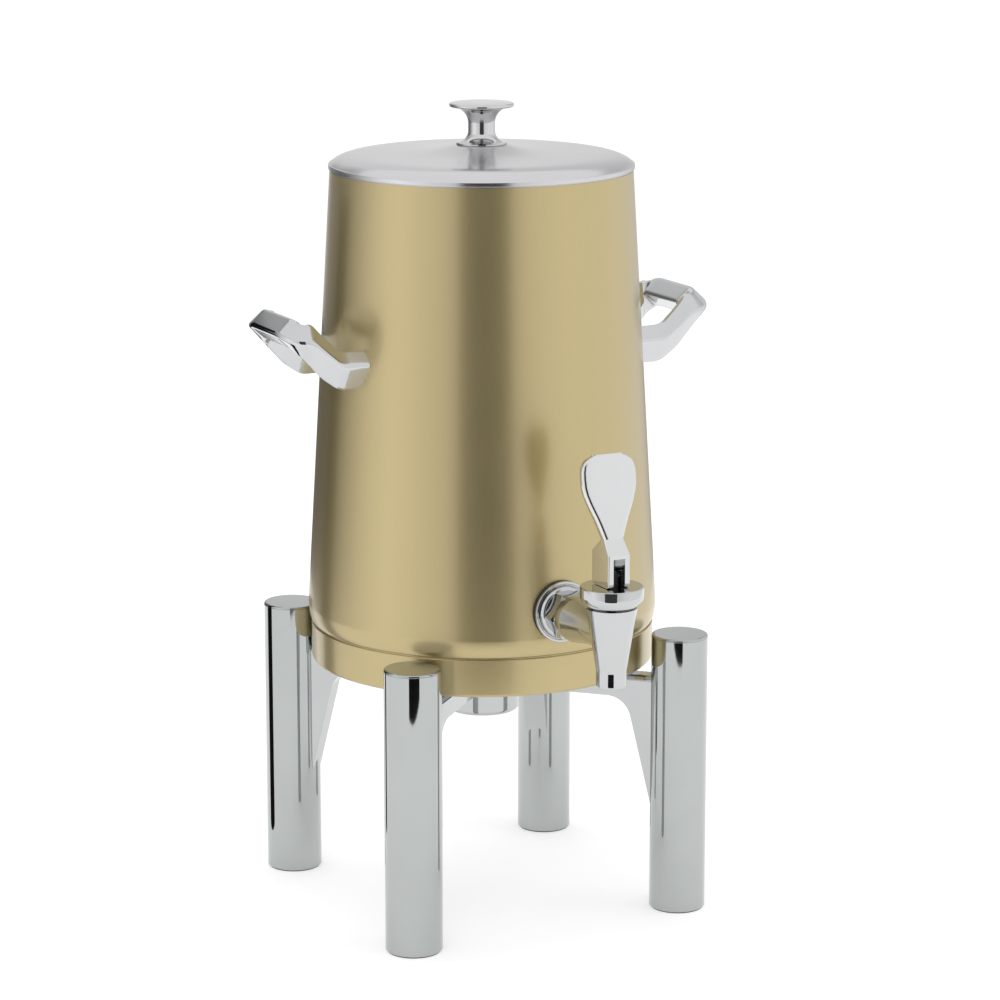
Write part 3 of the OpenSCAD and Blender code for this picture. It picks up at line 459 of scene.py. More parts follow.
def finishPiece(bm, name, body, stands, smooth=32, evenShading=True):
    mesh = bpy.data.meshes.new(name)
    bm.to_mesh(mesh)
    bm.free()
    mesh.shade_smooth()
    mesh.set_sharp_from_angle(angle=math.radians(smooth))
    piece = bpy.data.objects.new(name, mesh)
    bpy.context.scene.collection.objects.link(piece)
    materialSlot = slotOf[stands[0]]
    mesh.materials.append(finishes[materialSlot])
    if evenShading:
        shading = piece.modifiers.new("evenShading", "WEIGHTED_NORMAL")
        shading.keep_sharp = True
    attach(piece, body)
    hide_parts(*stands)


# A merged copy of a CAD node's mesh, with its flat faces whole again
def copyNode(name, flat=1.0):
    bm = bmesh.new()
    bm.from_mesh(nodes[name].data)
    bmesh.ops.remove_doubles(bm, verts=bm.verts, dist=near["copyWeld"] * mm)
    bmesh.ops.dissolve_limit(bm, angle_limit=math.radians(flat), verts=bm.verts, edges=bm.edges)
    bmesh.ops.recalc_face_normals(bm, faces=bm.faces)
    return bm


def corners(name):
    low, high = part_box(name)
    return low / mm, high / mm


# Body: the shell, the band below its seam, and the liner

shell = {"curl": 13.0, "curlIn": 3.1, "tuck": 6.8, "topRadius": 101.5, "wall": 1.0, "curlSteps": 15,
         "steps": 224}


def outerShell():
    low, high = corners("outer_shell")
    coneFoot = low.z + shell["tuck"] + shell["curl"]
    tuckRadius = high.x - shell["curlIn"]
    curve = [(tuckRadius, low.z)]
    curve += [(tuckRadius + shell["curlIn"] * math.sin(a), coneFoot - shell["curl"] * math.cos(a))
              for a in quarterTurn(shell["curlSteps"])]
    curve += [(shell["topRadius"], high.z)]
    inside = [(radius - shell["wall"], height) for radius, height in reversed(curve)]
    finishPiece(lathe(curve + inside, shell["steps"]), "shellJacket", "urn", ["outer_shell"], smooth=50)


band = {"wall": 1.2, "lip": 6.0, "lipThickness": 1.0, "lowerEdge": 2.0, "upperEdge": 0.45, "steps": 224}


def baseBand():
    low, high = corners("base_band")
    outer, inner = high.x, high.x - band["wall"]
    lip, lipTop = inner - band["lip"], low.z + band["lipThickness"]
    outline = [(lip, low.z), (outer, low.z, band["lowerEdge"]), (outer, high.z, band["upperEdge"]),
               (inner, high.z), (inner, lipTop), (lip, lipTop)]
    finishPiece(lathe(outline, band["steps"]), "baseRing", "urn", ["base_band"])


liner = {"corner": 6.0, "cornerSteps": 10, "wall": 0.8, "flange": 0.8, "flangeRadius": 101.0, "mouth": 91.8,
         "mouthEdge": 0.5, "foot": 108.8, "steps": 160}


def innerLiner():
    low, high = corners("inner_liner")
    corner, wall, count = liner["corner"], liner["wall"], liner["cornerSteps"]
    centreR, centreZ, underFlange = liner["foot"] - corner, low.z + corner, high.z - liner["flange"]
    outline = [(0, low.z)] + arcPoints(centreR, centreZ, corner, -90, 0, count)
    outline += [(liner["mouth"], underFlange), (liner["flangeRadius"], underFlange),
                (liner["flangeRadius"], high.z), (liner["mouth"] - wall, high.z, liner["mouthEdge"])]
    outline += arcPoints(centreR, centreZ, corner - wall, 0, -90, count) + [(0, low.z + wall)]
    finishPiece(lathe(outline, liner["steps"], closed=False), "linerPot", "urn", ["inner_liner"])


outerShell()
baseBand()
innerLiner()
print("urn: body made")


# Lid: a shoulder inside the rim, a nearly flat field and a flare up to the knob

lid = {"rim": 3.3, "rimEdge": 1.0, "rimSteps": 6, "lowerEdge": 0.35, "bead": 2.8, "shoulder": 6.4,
       "shoulderPower": 14, "flare": 6.1, "flareLength": 18.0, "wall": 1.0, "hole": 3.1, "rings": 56,
       "ringSpacing": 1.35, "steps": 192}
knob = {"foot": 17.0, "footEdge": 0.3, "neck": 9.0, "disc": 21.6, "height": 28.0, "footStep": 1.2,
        "footHeight": 7.5, "flareHeight": 11.0, "flareShare": 0.93, "curveSteps": 10, "discThickness": 2.6,
        "discEdge": 1.1, "discEdgeSteps": 6, "dome": 0.6, "domeRows": [(0.75, 0.35), (0.4, 0.1), (0, 0)],
        "steps": 128}


def lidRise(radius, field):
    return (lid["shoulder"] * (1 - (radius / field) ** lid["shoulderPower"])
            + lid["flare"] * math.exp(-max(radius - knob["foot"], 0) / lid["flareLength"]))


# The lid's upper side, from the rim in to the knob, with its rings closer together at the rim
def lidCurve(rimTop, field):
    shares = [(i / lid["rings"]) ** lid["ringSpacing"] for i in range(lid["rings"] + 1)]
    radii = [field + (knob["foot"] - field) * share for share in shares]
    return [(radius, rimTop + lidRise(radius, field)) for radius in radii]


def lidCover():
    low, high = corners("lid_cover")
    rimTop, field, bead = low.z + lid["rim"], high.x - lid["rimEdge"], high.x - lid["bead"]
    curve = lidCurve(rimTop, field)
    under = [(radius, height - lid["wall"]) for radius, height in reversed(curve) if radius < bead]
    outline = [(bead, low.z), (high.x, low.z, lid["lowerEdge"])]
    outline += arcPoints(field, rimTop - lid["rimEdge"], lid["rimEdge"], 0, 90, lid["rimSteps"]) + curve[1:]
    outline += [(lid["hole"], curve[-1][1]), (lid["hole"], curve[-1][1] - lid["wall"])] + under
    outline += [(bead, rimTop)]
    finishPiece(lathe(outline, lid["steps"]), "lidTop", "lid", ["lid_cover"], smooth=50)


pan = {"draft": 1.0, "wall": 0.8, "flange": 0.8, "radius": 89.5, "footEdge": 1.6, "innerEdge": 0.8}


def lidPan():
    low, high = corners("lid_pan")
    foot, wall, radius = pan["radius"] - pan["draft"], pan["wall"], pan["radius"]
    underFlange = high.z - pan["flange"]
    outline = [(0, low.z), (foot, low.z, pan["footEdge"]), (radius, underFlange), (high.x, underFlange),
               (high.x, high.z), (radius - wall, high.z), (foot - wall, low.z + wall, pan["innerEdge"]),
               (0, low.z + wall)]
    finishPiece(lathe(outline, lid["steps"], closed=False), "lidTray", "lid", ["lid_pan"])


def lidKnob():
    foot, neck, edge, count = knob["foot"], knob["neck"], knob["discEdge"], knob["discEdgeSteps"]
    disc = knob["height"] - knob["dome"] - knob["discThickness"]
    sweep, flareWidth = foot - neck, knob["disc"] * knob["flareShare"] - neck
    outline = [(0, 0), (foot, 0, knob["footEdge"])]
    outline += [(foot - sweep * math.sin(a), knob["footStep"] + knob["footHeight"] * (1 - math.cos(a)))
                for a in quarterTurn(knob["curveSteps"])]
    outline += [(neck + flareWidth * (1 - math.cos(a)), disc - knob["flareHeight"] * (1 - math.sin(a)))
                for a in quarterTurn(knob["curveSteps"])]
    outline += arcPoints(knob["disc"] - edge, disc + edge, edge, -90, 0, count)
    outline += arcPoints(knob["disc"] - edge, disc + knob["discThickness"] - edge, edge, 0, 90, count)
    outline += [(knob["disc"] * share, knob["height"] - drop * knob["dome"])
                for share, drop in knob["domeRows"]]
    bm = lathe(outline, knob["steps"], closed=False)
    shift(bm, 0, 0, corners("lid_knob")[0].z)
    finishPiece(bm, "lidPull", "lid", ["lid_knob"], smooth=40)


lidCover()
lidPan()
lidKnob()
print("urn: lid made")


# Stand: four tubes with caps, four arms and a hub

stand = {"wall": 2.0, "legEdge": 1.2, "legTopEdge": 0.25, "cap": 1.8, "capEdge": 1.5, "capLowerEdge": 0.2,
         "spigot": 8.0, "plug": 0.1, "steps": 96}
places = {"front_left": 225, "front_right": 315, "rear_left": 135, "rear_right": 45}


def legPlace(name):
    low, high = corners(name)
    return (low.x + high.x) / 2, (low.y + high.y) / 2, (high.x - low.x) / 2


def legTube(name):
    low, high = corners(name)
    x, y, outer = legPlace(name)
    inner = outer - stand["wall"]
    outline = [(inner, low.z), (outer, low.z, stand["legEdge"]), (outer, high.z, stand["legTopEdge"]),
               (inner, high.z)]
    bm = lathe(outline, stand["steps"])
    shift(bm, x, y, 0)
    finishPiece(bm, name.replace("_", "") + "Tube", "urn", [name])


def legCap(name):
    bottom = corners(name)[1].z
    x, y, outer = legPlace(name)
    plug = outer - stand["wall"] - stand["plug"]
    spigot, top = bottom - stand["spigot"], bottom + stand["cap"]
    outline = [(0, spigot), (plug, spigot), (plug, bottom), (outer, bottom, stand["capLowerEdge"]),
               (outer, top, stand["capEdge"]), (0, top)]
    bm = lathe(outline, stand["steps"], closed=False)
    shift(bm, x, y, 0)
    return bm


arm = {"width": 16.0, "depth": 15.5, "topEdge": 4.0, "smallEdge": 0.8, "archReach": 29.5, "archRadius": 17.0,
       "archSteps": 14, "slope": 13.5, "inHub": 1.4, "inLeg": 1.8}


# An arm seen from the side, as distances from the urn's axis and heights
def armOutline(top, legName):
    x, y, legRadius = legPlace(legName)
    legOut = math.hypot(x, y)
    bottom = top - arm["depth"]
    archOut, archZ = legOut - legRadius - arm["archReach"], bottom - arm["archRadius"]
    arch = arcPoints(archOut, archZ, arm["archRadius"], 90, arm["slope"], arm["archSteps"])
    endOut = legOut - legRadius + arm["inLeg"]
    endZ = arch[-1][1] - (endOut - arch[-1][0]) / math.tan(math.radians(arm["slope"]))
    start = corners("stand_hub")[1].x - arm["inHub"]
    return [(start, top), (start, bottom)] + arch + [(endOut, endZ), (endOut, top)]


def standArm(name, legName, angle):
    top = corners(name)[1].z

    def isLongTop(edge):
        first, second = edge.verts
        level = abs(first.co.y - second.co.y) < near["height"] * mm
        return isNear(first.co.z, top) and isNear(second.co.z, top) and level

    def isBelowTop(edge):
        return all(vert.co.z < (top - near["below"]) * mm for vert in edge.verts)

    outline = [(out, -arm["width"] / 2, z) for out, z in armOutline(top, legName)]
    bm = pushOut(outline, (0, arm["width"], 0))
    roundOff(bm, sharpEdges(bm, angle=40, where=isLongTop), arm["topEdge"], segments=6)
    roundOff(bm, sharpEdges(bm, angle=60, where=isBelowTop), arm["smallEdge"], segments=3)
    turn(bm, angle, "Z")
    finishPiece(bm, name.replace("_", "") + "Casting", "urn", [name], smooth=25)


hub = {"wall": 5.5, "web": 4.5, "hole": 4.1, "lowerEdge": 3.0, "upperEdge": 0.5, "capDome": 1.0,
       "capSteps": 9, "steps": 96}


def standHub():
    low, high = corners("stand_hub")
    cup, web = high.x - hub["wall"], high.z - hub["web"]
    outline = [(hub["hole"], web), (cup, web), (cup, low.z), (high.x, low.z, hub["lowerEdge"]),
               (high.x, high.z, hub["upperEdge"]), (hub["hole"], high.z)]
    finishPiece(lathe(outline, hub["steps"]), "hubCup", "urn", ["stand_hub"])


def hubCap():
    low, high = corners("hub_cap")
    outline = [(high.x * math.sin(a), low.z + (1 - math.cos(a)) * hub["capDome"])
               for a in quarterTurn(hub["capSteps"])]
    outline += [(high.x, high.z), (0, high.z)]
    finishPiece(lathe(outline, hub["steps"], closed=False), "hubPlug", "urn", ["hub_cap"])


legCaps = bmesh.new()
for place in places:
    legTube("leg_" + place)
    merge(legCaps, legCap("leg_" + place))
finishPiece(legCaps, "legTops", "urn", ["leg_caps"])
for place, angle in places.items():
    standArm("arm_" + place, "leg_" + place, angle)
standHub()
hubCap()
print("urn: stand made")


# Handles: a faceted loop from one foot round to the other. A row has shares of the reach, the half span and
# the rise, how far the width has gone from foot to grip, the height as a share of the foot's, and the turn.
handle = {"foot": (15.0, 25.0), "gripWidth": 21.5, "reach": 40.0, "span": 64.0, "rise": 23.3,
          "shellRadius": 108.65, "height": 378.9, "frontLift": 4.0,
          "ridge": 3.2, "ridgeSteps": 6, "ridgeReach": 1.3, "bend": 5.0, "bendSteps": 6, "bendLimit": 0.45,
          "rows": [(-0.19, 1, 0, 0, 1, 0), (0.267, 1, 0, 0, 1.03, 0), (0.6, 1, 0.47, 0.08, 1.16, 0),
                   (0.765, 0.985, 0.79, 0.2, 1.17, 12), (0.905, 0.965, 0.9, 0.72, 0.86, 45),
                   (1, 0.74, 1.1, 1, 0.76, 92)]}


# One section: a diamond with rounded ridges, its outer ridge lifted towards the top
def handleRing(row, side):
    reach, half, rise, grown, tall, angle = row
    footWidth, footHeight = handle["foot"]
    width = (footWidth + (handle["gripWidth"] - footWidth) * grown) / 2 + handle["ridgeReach"]
    up = Vector((0, 0, footHeight * tall / 2 + handle["ridgeReach"]))
    out = Vector((math.sin(math.radians(angle)), math.cos(math.radians(angle)), 0)) * width
    middle = Vector((handle["shellRadius"] + handle["reach"] * reach, handle["span"] / 2 * half,
                     handle["height"] + handle["rise"] * rise))
    lift = Vector((0, 0, handle["frontLift"] * (1 - grown)))
    diamond = [middle + out + lift, middle - up, middle - out, middle + up]
    ring = []
    for i, corner in enumerate(diamond):
        before = corner + (diamond[i - 1] - corner).normalized() * handle["ridge"]
        after = corner + (diamond[(i + 1) % 4] - corner).normalized() * handle["ridge"]
        ring += [softCorner(before, corner, after, step / handle["ridgeSteps"])
                 for step in range(handle["ridgeSteps"] + 1)]
    return [(point.x * side, point.y, point.z) for point in ring]


# All rows from foot to foot, with each corner of the loop softened
def bentRows():
    rows = handle["rows"] + [(r[0], -r[1], *r[2:5], 180 - r[5]) for r in reversed(handle["rows"])]
    sizes = (handle["reach"], handle["span"] / 2, handle["rise"])
    soft = [rows[0]]
    for before, row, after in zip(rows, rows[1:], rows[2:]):
        ends = []
        for other in (before, after):
            length = math.dist([p * s for p, s in zip(row, sizes)], [p * s for p, s in zip(other, sizes)])
            share = min(handle["bendLimit"], handle["bend"] / length)
            ends.append([r + (o - r) * share for r, o in zip(row, other)])
        for step in range(handle["bendSteps"] + 1):
            t = step / handle["bendSteps"]
            soft.append([softCorner(start, corner, end, t)
                         for start, corner, end in zip(ends[0], row, ends[1])])
    return soft + [rows[-1]]


def loopHandle(name, node, side):
    bm = loft([handleRing(row, side) for row in bentRows()])[0]
    faceOut(bm)
    finishPiece(bm, name, "urn", [node], smooth=60)


loopHandle("rightLoop", "handle_right", 1)
loopHandle("leftLoop", "handle_left", -1)
print("urn: handles made")


# Faucet: turned pieces along the level shank, then the upright body, bonnet and lever

faucet = {"shankHole": 9.1, "neck": 14.2, "neckHeight": 9.0, "chamber": 9.0, "steps": 128}


def shankHeight():
    low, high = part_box("faucet_shank")
    return (low.z + high.z) / 2 / mm


def alongShank(bm, distance):
    turn(bm, 90, "X")
    shift(bm, 0, -distance, shankHeight())
    return bm


flange = {"bead": 2.0, "beadHeight": 2.2, "beadEdge": 0.7, "wallEdge": 0.2, "groove": 0.5,
          "grooveHeight": 1.2, "domeTop": 15.2, "domeSteps": 10}


def faucetEscutcheon():
    low, high = corners("faucet_escutcheon")
    radius, thick, hole = high.x, high.y - low.y, faucet["shankHole"]
    bead, edge, grooveHeight = radius - flange["bead"], flange["beadEdge"], flange["grooveHeight"]
    foot = bead - flange["groove"]
    wide = foot - flange["domeTop"]
    outline = [(hole, 0), (radius, 0, flange["wallEdge"]), (radius, flange["beadHeight"], edge),
               (bead, flange["beadHeight"], edge), (bead, grooveHeight), (foot, grooveHeight)]
    outline += [(flange["domeTop"] + wide * math.cos(a), grooveHeight + (thick - grooveHeight) * math.sin(a))
                for a in quarterTurn(flange["domeSteps"])[1:]]
    outline += [(hole, thick)]
    bm = alongShank(lathe(outline, faucet["steps"]), -high.y)
    finishPiece(bm, "wallFlange", "urn", ["faucet_escutcheon"])


nut = {"edge": 0.3, "shortest": 4.0}


def faucetNut():
    bm = copyNode("faucet_nut")
    longEdges = sharpEdges(bm, angle=20, where=lambda edge: edge.calc_length() > nut["shortest"] * mm)
    roundOff(bm, longEdges, nut["edge"], segments=2)
    finishPiece(bm, "shankNut", "urn", ["faucet_nut"], smooth=24)


casting = {"spoutRadius": 9.85, "spoutBore": 6.5, "spoutLength": 10.3, "outletEdge": 0.6, "shoulderEdge": 0.5,
           "drop": 33.7, "up": 18.3, "seatDrop": 9.0, "topRadius": 16.5, "evenRing": 1.3,
           "collarRadius": (15.4, 12.0), "collarLength": (8.0, 18.0), "collarEdge": (1.4, 1.0),
           "past": 2.0, "boreSteps": 96}


# The upright spout, its cone and the neck under the bonnet. Even rings keep the cone's shading straight.
def spoutCone(outlet, top, neckTop):
    spout, wide, even = casting["spoutRadius"], casting["topRadius"], casting["evenRing"]
    shoulder = outlet + casting["spoutLength"]
    slope = (wide - spout) / (top - shoulder)
    outline = [(0, outlet), (spout, outlet, casting["outletEdge"]), (spout, outlet + even),
               (spout, shoulder - even), (spout, shoulder, casting["shoulderEdge"]),
               (spout + slope * even, shoulder + even), (wide - slope * even, top - even),
               (wide, top), (faucet["neck"], top), (faucet["neck"], neckTop), (0, neckTop)]
    return lathe(outline, faucet["steps"], closed=False)


def spoutCollar(length):
    wide, narrow = casting["collarRadius"]
    straight, taper = casting["collarLength"]
    wallEdge, taperEdge = casting["collarEdge"]
    outline = [(0, 0), (wide, 0, wallEdge), (wide, straight, taperEdge), (narrow, straight + taper),
               (narrow, length), (0, length)]
    return lathe(outline, faucet["steps"], closed=False)


def spoutBore(outlet, seat, neckTop):
    bore, chamber = casting["spoutBore"], faucet["chamber"]
    low, high = outlet - casting["past"], neckTop + casting["past"]
    return lathe([(0, low), (bore, low), (bore, seat), (chamber, seat), (chamber, high), (0, high)],
                 casting["boreSteps"], closed=False)


def faucetBody():
    low, high = corners("faucet_body")
    axis = shankHeight()
    outlet, top = axis - casting["drop"], axis + casting["up"]
    neckTop = top + faucet["neckHeight"]
    spoutOut, collarOut = -(low.y + casting["topRadius"]), -high.y
    body = spoutCone(outlet, top, neckTop)
    shift(body, 0, -spoutOut, 0)
    body = carve(body, alongShank(spoutCollar(spoutOut - collarOut), collarOut), "UNION")
    bore = spoutBore(outlet, axis - casting["seatDrop"], neckTop)
    shift(bore, 0, -spoutOut, 0)
    body = carve(body, bore, "DIFFERENCE")
    faceOut(body)
    finishPiece(body, "faucetCasting", "urn", ["faucet_body"], smooth=28, evenShading=False)


bonnet = {"bowl": 8.5, "bowlStart": -70, "bowlSteps": 10, "topEdge": 0.9, "roof": 2.4, "stemHole": 3.28,
          "sideGap": 0.05, "topGap": 0.1}


def faucetBonnet():
    low, high = corners("faucet_bonnet")
    radius, tall, hole, bowl = high.x, high.z - low.z, bonnet["stemHole"], bonnet["bowl"]
    neck, neckTop = faucet["neck"] + bonnet["sideGap"], faucet["neckHeight"] + bonnet["topGap"]
    roof, chamber = tall - bonnet["roof"], faucet["chamber"]
    outline = [(neck, 0)]
    outline += arcPoints(radius - bowl, bowl, bowl, bonnet["bowlStart"], 0, bonnet["bowlSteps"])
    outline += [(radius, tall, bonnet["topEdge"]), (hole, tall), (hole, roof), (chamber, roof),
                (chamber, neckTop), (neck, neckTop)]
    bm = lathe(outline, faucet["steps"])
    shift(bm, 0, (low.y + high.y) / 2, low.z)
    finishPiece(bm, "faucetCollar", "urn", ["faucet_bonnet"])


# Lever: a forked block, a flare and a paddle. Rows have shares of the paddle's height, width and thickness.
lever = {"width": 15.6, "length": 22.6, "height": 21.5, "back": 1.5, "heel": 3.0, "heelSteps": 9,
         "heelPast": 1.0, "flare": 9.0, "paddle": (39.0, 54.7, 8.0), "lean": 9.0, "crown": 0.5,
         "crownInset": 1.2, "slotWidth": 8.2, "slotBack": 4.4, "slotTop": 2.6,
         "slotPast": (2.0, 4.0), "corner": 3.2, "cornerLimit": 0.85, "blockCorner": 0.9, "cornerSteps": 8,
         "rows": [(0, 0.36, 1), (0.07, 0.43, 1), (0.16, 0.52, 1), (0.25, 0.62, 0.98), (0.345, 0.74, 0.95),
                  (0.44, 0.85, 0.92), (0.53, 0.94, 0.9), (0.62, 0.99, 0.88), (0.72, 1, 0.86),
                  (0.8, 0.99, 0.84), (0.86, 0.95, 0.8), (0.91, 0.86, 0.74), (0.95, 0.73, 0.66),
                  (0.98, 0.54, 0.54)]}


def roundedRing(width, depth, corner):
    points = []
    count = lever["cornerSteps"]
    for signX, signY, start in ((1, 1, 0), (-1, 1, 90), (-1, -1, 180), (1, -1, 270)):
        for i in range(count + 1):
            angle = math.radians(start + 90 * i / count)
            points.append((signX * (width / 2 - corner) + corner * math.cos(angle),
                           signY * (depth / 2 - corner) + corner * math.sin(angle)))
    return points


# The lever's sections: two for the block, then the paddle's rows, leaning back from the waist
def leverRings(axisY, middle, bottom):
    blockTop = bottom + lever["height"]
    waist = blockTop + lever["flare"]
    wide, tall, thick = lever["paddle"]
    lean = math.radians(-lever["lean"])
    block = roundedRing(lever["width"], lever["length"], lever["blockCorner"])
    rings = [[(x, middle + y, z) for x, y in block] for z in (bottom, blockTop)]
    for share, across, through in lever["rows"]:
        corner = min(lever["corner"], thick * through / 2 * lever["cornerLimit"])
        rise = tall * share
        rings.append([(x, axisY + y * math.cos(lean) - rise * math.sin(lean),
                       waist + y * math.sin(lean) + rise * math.cos(lean))
                      for x, y in roundedRing(wide * across, thick * through, corner)])
    return rings


# What is cut off one end of the block, so that its heel rolls clear of the bonnet
def heelCutter(end, inward, bottom):
    heel, past = lever["heel"], lever["heelPast"]
    centre, outside = end + inward * heel, end - inward * past
    outline = [(centre - inward * heel * math.cos(a), bottom + heel - heel * math.sin(a))
               for a in quarterTurn(lever["heelSteps"])]
    outline += [(centre, bottom - past), (outside, bottom - past), (outside, bottom + heel)]
    return pushOut([(-lever["width"], y, z) for y, z in outline], (2 * lever["width"], 0, 0))


# The slot in the fork, open at the front and below
def slotCutter(axisY, middle, bottom):
    pastFront, pastBottom = lever["slotPast"]
    front, back = middle - lever["length"] / 2 - pastFront, axisY + lever["slotBack"]
    top = bottom + lever["height"] - lever["slotTop"]
    bm = bmesh.new()
    bmesh.ops.create_cube(bm, size=1.0)
    bmesh.ops.scale(bm, verts=bm.verts,
                    vec=(lever["slotWidth"] * mm, (back - front) * mm, (top - bottom + pastBottom) * mm))
    shift(bm, 0, (front + back) / 2, (top + bottom - pastBottom) / 2)
    bmesh.ops.recalc_face_normals(bm, faces=bm.faces)
    return bm


def faucetLever():
    low, high = corners("faucet_bonnet")
    axisY = (low.y + high.y) / 2
    bottom, middle = corners("faucet_lever")[0].z, axisY + lever["back"]
    bm, cap = loft(leverRings(axisY, middle, bottom))
    bmesh.ops.inset_region(bm, faces=[cap], thickness=lever["crownInset"] * mm)
    for vert in cap.verts:
        vert.co.z += lever["crown"] * mm
    faceOut(bm)
    for inward in (1, -1):
        bm = carve(bm, heelCutter(middle - inward * lever["length"] / 2, inward, bottom), "DIFFERENCE")
    bm = carve(bm, slotCutter(axisY, middle, bottom), "DIFFERENCE")
    faceOut(bm)
    finishPiece(bm, "leverPaddle", "lever", ["faucet_lever"], smooth=24)


faucetEscutcheon()
faucetNut()
faucetBody()
faucetBonnet()
faucetLever()
print("urn: faucet made")


# Camera: the photograph's viewing angle, from the front left and a little above

view = {"azimuth": -26.6, "elevation": 12.6, "distance": 2385.0, "lens": 126.0, "sensor": 36.0,
        "farthest": 100000.0, "aimRight": 12.3, "aimHeight": 274.6}


# Level directions: to the picture's right, and from the urn towards the camera
def viewAxes():
    a = math.radians(view["azimuth"])
    return Vector((math.cos(a), math.sin(a), 0)), Vector((math.sin(a), -math.cos(a), 0))


def makeCamera():
    a, e = math.radians(view["azimuth"]), math.radians(view["elevation"])
    back = Vector((math.sin(a) * math.cos(e), -math.cos(a) * math.cos(e), math.sin(e)))
    data = bpy.data.cameras.new("photoCamera")
    data.lens, data.sensor_width, data.clip_end = view["lens"], view["sensor"], view["farthest"] * mm
    camera = bpy.data.objects.new("photoCamera", data)
    bpy.context.scene.collection.objects.link(camera)
    aim = viewAxes()[0] * view["aimRight"] + Vector((0, 0, view["aimHeight"]))
    camera.location = (aim + back * view["distance"]) * mm
    camera.rotation_euler = (-back).to_track_quat("-Z", "Y").to_euler()
    bpy.context.scene.camera = camera


# Floor, world and the studio that the metal reflects

studio = {"floorColour": 0.58, "floorGlow": 0.50, "floorReach": 9000.0, "ambient": 0.92,
          "wallRadius": 1000.0, "wallSteps": 96, "brightest": 1.5}


# One where the camera looks at it straight, in a mirror or through glass, and zero for soft light
def seenDirectly(tree):
    rays = tree.nodes.new("ShaderNodeLightPath").outputs
    mirrored = addMath(tree, "ADD", rays["Is Glossy Ray"], rays["Is Transmission Ray"])
    return addMath(tree, "ADD", rays["Is Camera Ray"], mirrored)


def glowMaterial(name, strength):
    material = bpy.data.materials.new(name)
    tree = emptyTree(material)
    glow = addNode(tree, "ShaderNodeEmission", {"Strength": strength})
    addNode(tree, "ShaderNodeOutputMaterial", {"Surface": glow.outputs[0]})
    return material, glow


def stagePiece(bm, name, material, onlyReflected):
    mesh = bpy.data.meshes.new(name)
    bm.to_mesh(mesh)
    bm.free()
    piece = bpy.data.objects.new(name, mesh)
    bpy.context.scene.collection.objects.link(piece)
    mesh.materials.append(material)
    if onlyReflected:
        for kind in ("camera", "diffuse", "transmission", "volume_scatter", "shadow"):
            setattr(piece, "visible_" + kind, False)


def makeFloor():
    material = bpy.data.materials.new("paleFloor")
    tree = emptyTree(material)
    level = studio["floorColour"]
    diffuse = addNode(tree, "ShaderNodeBsdfDiffuse", {"Color": (level, level, level, 1)})
    strength = addMath(tree, "MULTIPLY", seenDirectly(tree), studio["floorGlow"])
    glow = addNode(tree, "ShaderNodeEmission", {"Strength": strength})
    both = addNode(tree, "ShaderNodeAddShader", {0: diffuse.outputs[0], 1: glow.outputs[0]})
    addNode(tree, "ShaderNodeOutputMaterial", {"Surface": both.outputs[0]})
    bm = bmesh.new()
    bmesh.ops.create_grid(bm, x_segments=1, y_segments=1, size=studio["floorReach"] * mm)
    stagePiece(bm, "floor", material, False)


def makeWorld():
    world = bpy.data.worlds.new("paleStudio")
    bpy.context.scene.world = world
    tree = emptyTree(world)
    strength = addNode(tree, "ShaderNodeMapRange",
                       {"Value": seenDirectly(tree), "To Min": studio["ambient"], "To Max": 1.0})
    backdrop = addNode(tree, "ShaderNodeBackground",
                       {"Color": (1, 1, 1, 1), "Strength": strength.outputs["Result"]})
    addNode(tree, "ShaderNodeOutputWorld", {"Surface": backdrop.outputs[0]})


# Walls: each level belongs to an angle round the urn, from the camera at 0 to the picture's right at 90
frontLevels = [(-108, 0.34), (-96, 0.60), (-80, 1.00), (-62, 1.24), (-40, 1.00), (-18, 0.85), (24, 0.85),
               (40, 1.00), (62, 1.08), (112, 1.05)]
walls = [{"name": "lowWall", "height": (0, 250),
          "levels": [(-180, 0.20), (-150, 0.10), (-125, 0.08), *frontLevels, (138, 0.90), (160, 0.40),
                     (180, 0.20)]},
         {"name": "middleWall", "height": (250, 820),
          "levels": [(-180, 0.85), (-162, 0.75), (-148, 0.30), (-125, 0.16), *frontLevels, (138, 0.85),
                     (158, 0.64), (180, 0.85)]},
         {"name": "highWall", "height": (820, 1250),
          "levels": [(-180, 0.80), (-158, 0.80), (-145, 0.50), (-120, 0.48), (-90, 0.80), (-40, 1.00),
                     (60, 1.00), (110, 0.80), (140, 0.60), (165, 0.70)]}]


def setStops(ramp, levels):
    stops = ramp.color_ramp.elements
    while len(stops) < len(levels):
        stops.new(0.5)
    for stop, (angle, level) in zip(stops, levels):
        stop.position = (angle + 180) / 360
    for stop, (angle, level) in zip(stops, levels):
        stop.color = (*[level / studio["brightest"]] * 3, 1)


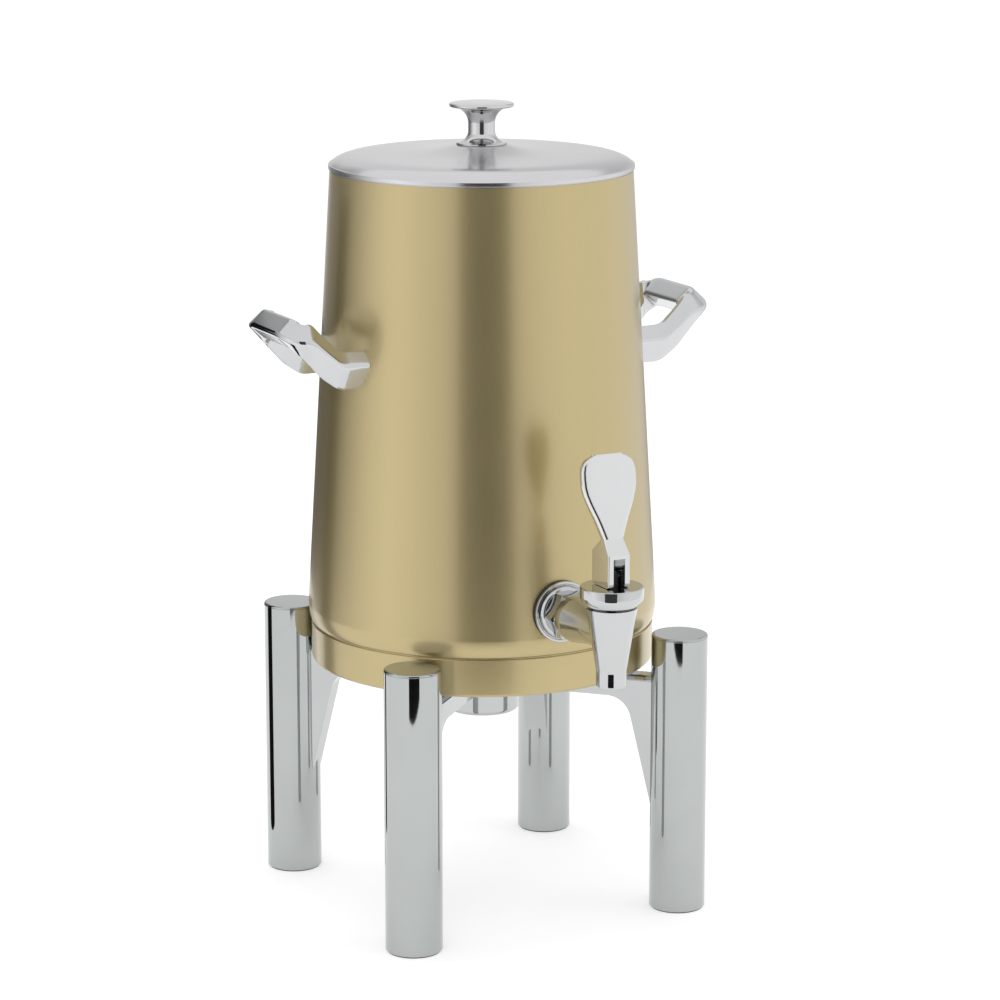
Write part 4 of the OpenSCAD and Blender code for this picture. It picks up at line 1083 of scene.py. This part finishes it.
def makeWall(wall):
    material, glow = glowMaterial(wall["name"], studio["brightest"])
    tree = material.node_tree
    place = tree.nodes.new("ShaderNodeTexCoord").outputs["Object"]
    fromView = (0, 0, math.radians(90 - view["azimuth"]))
    mapping = addNode(tree, "ShaderNodeMapping", {"Vector": place, "Rotation": fromView})
    parts = addNode(tree, "ShaderNodeSeparateXYZ", {0: mapping.outputs[0]}).outputs
    angle = addMath(tree, "ARCTAN2", parts[1], parts[0])
    share = addNode(tree, "ShaderNodeMapRange", {"Value": angle, "From Min": -math.pi, "From Max": math.pi})
    ramp = addNode(tree, "ShaderNodeValToRGB", {0: share.outputs["Result"]})
    setStops(ramp, wall["levels"])
    tree.links.new(ramp.outputs[0], glow.inputs["Color"])
    low, high = wall["height"]
    bm = bmesh.new()
    bmesh.ops.create_circle(bm, radius=studio["wallRadius"] * mm, segments=studio["wallSteps"])
    grown = bmesh.ops.extrude_edge_only(bm, edges=bm.edges[:])["geom"]
    bmesh.ops.translate(bm, verts=onlyVerts(grown), vec=(0, 0, (high - low) * mm))
    shift(bm, 0, 0, low)
    stagePiece(bm, wall["name"], material, True)


cards = {"front": {"toCamera": 700.0, "side": (-180.0, 250.0),
                   "bands": [(0.0, 75.0, 0.01), (75.0, 800.0, 0.06)]},
         "post": {"toCamera": -60.0, "right": -263.0, "radius": 30.0, "height": 470.0, "steps": 32,
                  "level": 0.01}}


# Only the metal sees these: the dark opening around the camera, and a dark post to the picture's left
def makeOpening():
    right, toCamera = viewAxes()
    front = cards["front"]
    left, far = front["side"]
    for low, high, level in front["bands"]:
        bm = bmesh.new()
        bm.faces.new([bm.verts.new((right * side + toCamera * front["toCamera"] + Vector((0, 0, z))) * mm)
                      for side, z in ((left, low), (far, low), (far, high), (left, high))])
        stagePiece(bm, "frontOpening", glowMaterial("frontOpening", level)[0], True)


def makePost():
    right, toCamera = viewAxes()
    post = cards["post"]
    radius, height = post["radius"], post["height"]
    bm = bmesh.new()
    bmesh.ops.create_cone(bm, cap_ends=True, segments=post["steps"], radius1=radius * mm,
                          radius2=radius * mm, depth=height * mm)
    centre = right * post["right"] + toCamera * post["toCamera"]
    shift(bm, centre.x, centre.y, height / 2)
    stagePiece(bm, "sidePost", glowMaterial("darkPost", post["level"])[0], True)


lamps = [{"name": "keyLamp", "place": (-1700, -2300, 2400), "size": 1600, "power": 20.0},
         {"name": "fillLamp", "place": (2300, -1500, 1700), "size": 1600, "power": 10.0},
         {"name": "topLamp", "place": (200, 900, 2900), "size": 1800, "power": 14.0}]
lampAim = (0, 0, 250)


def makeLamp(lamp):
    data = bpy.data.lights.new(lamp["name"], "AREA")
    data.size, data.energy = lamp["size"] * mm, lamp["power"]
    piece = bpy.data.objects.new(lamp["name"], data)
    bpy.context.scene.collection.objects.link(piece)
    piece.location = metres(lamp["place"])
    piece.rotation_euler = (metres(lampAim) - piece.location).to_track_quat("-Z", "Y").to_euler()
    piece.visible_glossy = False


makeCamera()
makeFloor()
makeWorld()
for wall in walls:
    makeWall(wall)
makeOpening()
makePost()
for lamp in lamps:
    makeLamp(lamp)
bpy.context.scene.view_settings.view_transform = "Standard"
print("urn: studio made")
